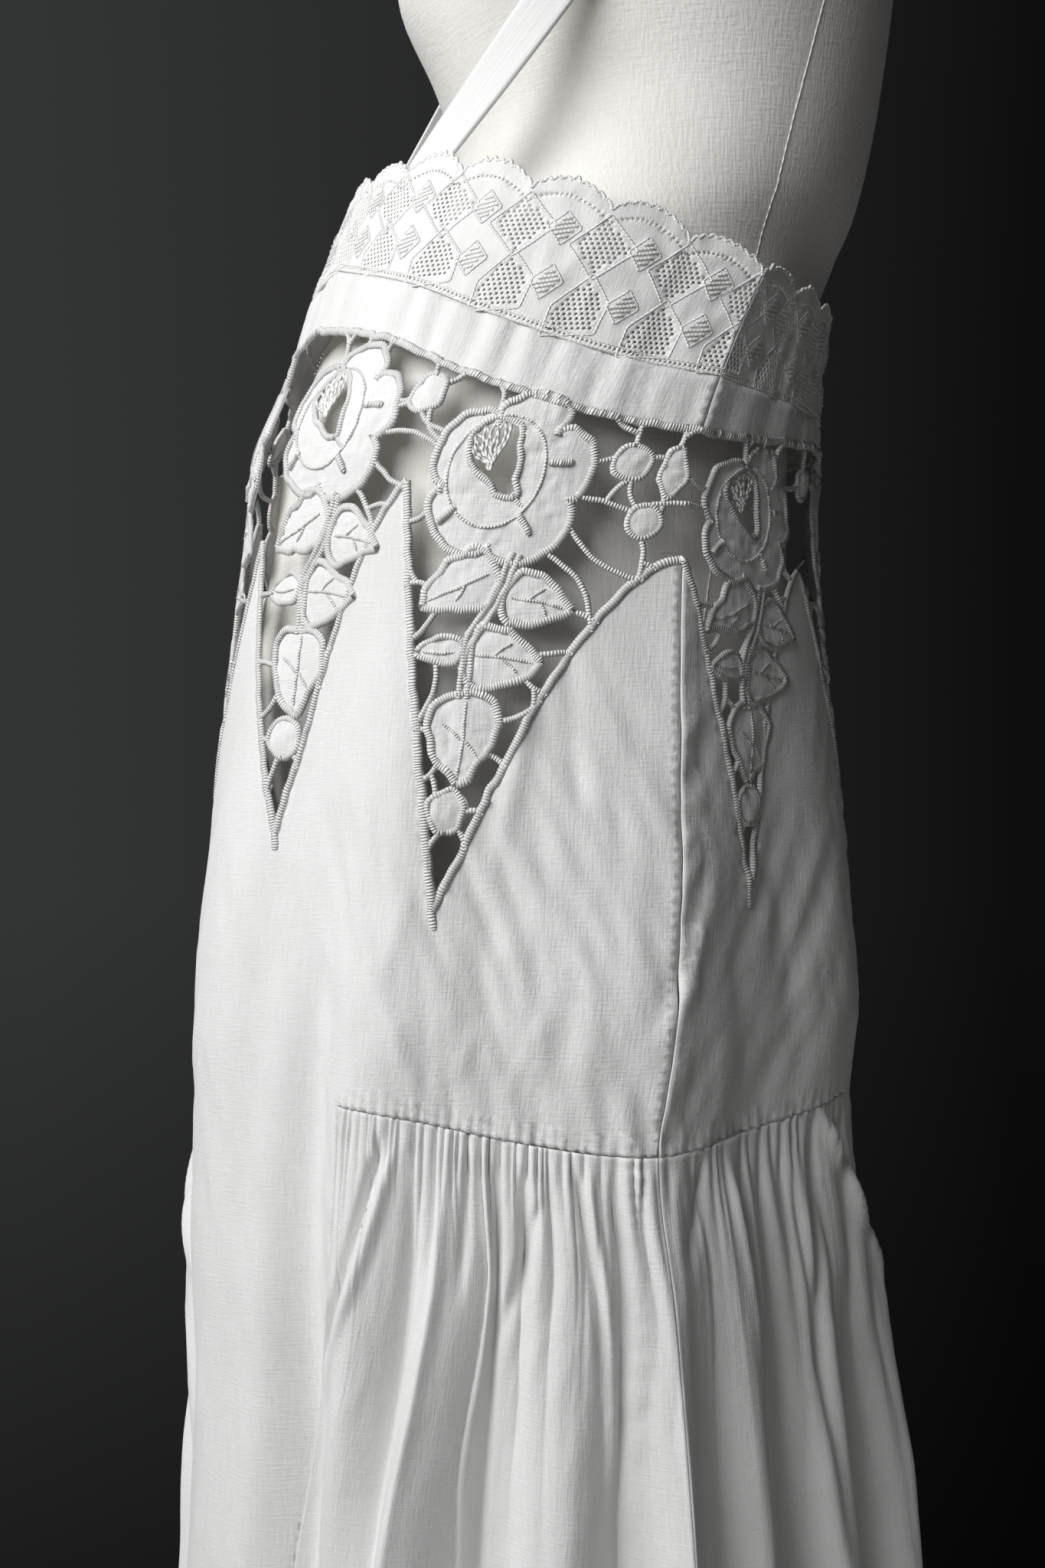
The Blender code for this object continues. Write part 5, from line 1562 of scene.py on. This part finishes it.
def strap(name, front_foot, shift, side):
    """A flat cotton tape along the strap's path, with a rolled edge on each side."""
    path = strap_path(front_foot, shift)
    each = 6
    steps = (len(path) - 1) * each
    bm = bmesh.new()
    layer = bm.verts.layers.float_vector.new("flat_place")

    def at(s):
        place = min(s * (len(path) - 1), len(path) - 1.001)
        k = int(place)
        t = place - k
        p0, p1, p2, p3 = (path[min(max(j, 0), len(path) - 1)] for j in (k - 1, k, k + 1, k + 2))
        here = (p1[0] * 2 + (p2[0] - p0[0]) * t + (p0[0] * 2 - p1[0] * 5 + p2[0] * 4 - p3[0]) * t * t
                + (p1[0] * 3 - p0[0] - p2[0] * 3 + p3[0]) * t**3) / 2
        return here, p1[1].lerp(p2[1], t).normalized()

    def place(s, t):
        here, normal = at(s)
        along = (at(min(s + 0.004, 1.0))[0] - at(max(s - 0.004, 0.0))[0]).normalized()
        across = along.cross(normal).normalized()
        out = across.cross(along).normalized()
        if out.dot(normal) < 0:
            out.negate()
        v = 2.0 * t - 1.0
        rim = 0.0003 * math.exp(-(((abs(v) - 0.86) / 0.08) ** 2)) - 0.00035 * smooth(0.9, 1.0, abs(v))
        wander = 0.0004 * math.sin(s * 60.0)
        half = STRAP_WIDTH / 2 * (0.84 + 0.30 * smooth(0.14, 0.03, s))
        spot = here + across * (v * half + wander) + out * (0.0002 + rim)
        return Vector((side * spot.x, spot.y, spot.z))

    mapped_grid(bm, steps, 12, place, layer, lambda s, t: (t * STRAP_WIDTH + 2.0, s * 0.9))
    lay_uv(bm, layer)
    bmesh.ops.recalc_face_normals(bm, faces=bm.faces)
    item = finished(name + "_tape", bm, COTTON, "cotton", name)
    thicken(item, 0.0011)
    return item


# Camera, light and floor


CAMERA_TURN = 62.0          # degrees from the dress's front towards the wearer's left
CAMERA_AWAY = 1.10
CAMERA_AIM_Y = -0.048
CAMERA_HEIGHT = 0.822
PICTURE_ACROSS = (0.469, 0.883, 0.0)


def studio():
    camera = bpy.data.objects.new("camera", bpy.data.cameras.new("camera"))
    bpy.context.scene.collection.objects.link(camera)
    turn = math.radians(CAMERA_TURN)
    camera.location = (CAMERA_AWAY * math.sin(turn),
                       CAMERA_AIM_Y - CAMERA_AWAY * math.cos(turn), CAMERA_HEIGHT)
    camera.rotation_euler = (math.radians(90.0), 0.0, turn)
    camera.data.lens = 50.0
    camera.data.sensor_width = 36.0
    camera.data.sensor_fit = "AUTO"
    camera.data.clip_start = 0.05
    bpy.context.scene.camera = camera
    bpy.context.scene.view_settings.view_transform = "Standard"
    bm = bmesh.new()
    bmesh.ops.create_circle(bm, cap_ends=True, segments=96, radius=1.05)
    mesh = bpy.data.meshes.new("floor")
    bm.to_mesh(mesh)
    bm.free()
    mesh.materials.append(plain_floor())
    floor = bpy.data.objects.new("floor", mesh)
    bpy.context.scene.collection.objects.link(floor)
    for name, where, aim, wide, tall, power, colour in LIGHTS:
        lamp = bpy.data.objects.new(name, bpy.data.lights.new(name, "AREA"))
        lamp.data.shape = "RECTANGLE"
        lamp.data.size, lamp.data.size_y = wide, tall
        lamp.data.energy = power
        lamp.data.color = colour
        lamp.location = where
        lamp.rotation_euler = (Vector(aim) - Vector(where)).to_track_quat("-Z", "Y").to_euler()
        bpy.context.scene.collection.objects.link(lamp)
    world = bpy.data.worlds.new("studio")
    world.use_nodes = True
    tree = world.node_tree
    # The backdrop is painted lighter to the left and towards the top and darker to the right and below:
    # painted falloff of the window light on the backdrop.
    towards = node(tree, "ShaderNodeTexCoord").outputs["Generated"]
    across, level = (node(tree, "ShaderNodeVectorMath", [(0, towards), (1, axis)],
                          operation="DOT_PRODUCT").outputs["Value"] for axis in (PICTURE_ACROSS,
                          (0.0, 0.0, 1.0)))
    wide = node(tree, "ShaderNodeMapRange",
                [("Value", across), ("From Min", -0.22), ("From Max", 0.22), ("To Min", 0.036),
                ("To Max", 0.0045)]).outputs[0]
    tall = node(tree, "ShaderNodeMapRange",
                [("Value", level), ("From Min", -0.36), ("From Max", -0.05), ("To Min", 0.25),
                ("To Max", 1.0)]).outputs[0]
    shade = node(tree, "ShaderNodeMath", [(0, wide), (1, tall)], operation="MULTIPLY").outputs[0]
    background = tree.nodes["Background"]
    background.inputs["Color"].default_value = (0.95, 0.98, 1.0, 1.0)
    tree.links.new(shade, background.inputs["Strength"])
    bpy.context.scene.world = world


# Columns: name, where, aim, wide, tall, power, colour
LIGHTS = (
    ("window", (0.38, -1.75, 2.10), (0.0, 0.0, 1.48), 2.2, 1.7, 61.0, (0.995, 0.995, 1.0)),
    ("front_fill", (2.4, -0.9, 1.3), (0.0, 0.0, 0.85), 2.0, 2.0, 2.0, (1.0, 0.99, 0.975)),
    ("back_fill", (1.4, 2.0, 1.2), (0.0, 0.0, 0.85), 1.8, 1.8, 1.2, (1.0, 0.98, 0.95)),
)


def declare(piece, held, rests_on, *with_pieces, deep=None):
    """Reads the size of a sheet's flat map and the area of its faces, and does nothing with them; the depth
    given for a plain strip is not used.
    """
    xs, ys, covered = [], [], 0.0
    for face in piece.data.polygons:
        spots = [piece.data.uv_layers["flat"].data[k].uv for k in face.loop_indices]
        xs += [spot.x for spot in spots]
        ys += [spot.y for spot in spots]
        covered += face.area


def main():
    studio()
    hem = edge("ruffle_seam", -90) - RUFFLE_DROP
    front_girths, back_girths = (-180.0 + SEAM_HALF, -SEAM_HALF), (SEAM_HALF, 180.0 - SEAM_HALF)
    front = cutwork(*front_girths, front_outline())
    back = cutwork(*back_girths, back_outline())
    round_by = flat(360.0, 0)[0]
    lay_bars(front, back, -round_by)
    lay_bars(back, front, round_by)
    gathered = seam_rows((-180.0, -126.0)) + seam_rows((-54.0, 0.0))
    for name, layout, girths, low, step, extra, hangs_from in (
        ("front_panel", front, front_girths, hem, 0.0032, gathered, "lace_band_front_cloth"),
        ("back_panel", back, back_girths, 0.66, 0.0040, seam_rows((0.0, 180.0)) + allowance_points(),
         "lace_band_back_cloth"),
    ):
        cloth = panel(name, layout, girths, low, step, extra)
        declare(cloth, "hung", [hangs_from], cutwork_stitches(name, layout), cutwork_bars(name, layout))
    for name, start, stop in (("lace_band_front", -180.0, 0.0), ("lace_band_back", 0.0, 180.0)):
        item, nets, reliefs = band(name, start, stop)
        declare(item, "hung", ["strap_left_tape", "strap_right_tape"],
                band_embroidery(name, start, stop, nets, reliefs))
    for name, start, stop, count, folds, lines, seed, follow, columns, rows, hangs_from in (
        ("ruffle_left", RUFFLE_START, 0.0, SIDE_GATHERS, SIDE_FOLDS, SIDE_LINES, 3, 1, 236, 68,
         "front_panel_cloth"),
        ("ruffle_right", -180.0, -180.0 - RUFFLE_START, SIDE_GATHERS, SIDE_FOLDS, SIDE_LINES, 5, -1, 236, 68,
         "front_panel_cloth"),
        ("ruffle_back", 0.0, 180.0, BACK_GATHERS, BACK_FOLDS, BACK_LINES, 8, 0, 440, 54, "back_panel_cloth"),
    ):
        item, stitching = ruffle(name, start, stop, count, folds, lines, seed, follow, columns, rows)
        declare(item, "gathered", [hangs_from], stitching, deep=RUFFLE_DROP)
    for name, foot, shift, side in (("strap_left", -80.0, 4.0, 1), ("strap_right", -50.0, 30.0, -1)):
        declare(strap(name, foot, shift, side), "hung", ["form_cover"], deep=STRAP_MEAN_WIDTH)
    form_cover()
    for name, finish in (("neck_cap", COVER), ("pole_collar", IRON), ("stand_pole", IRON),
                         ("stand_base", IRON)):
        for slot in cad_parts[name].material_slots:
            slot.material = finish


main()
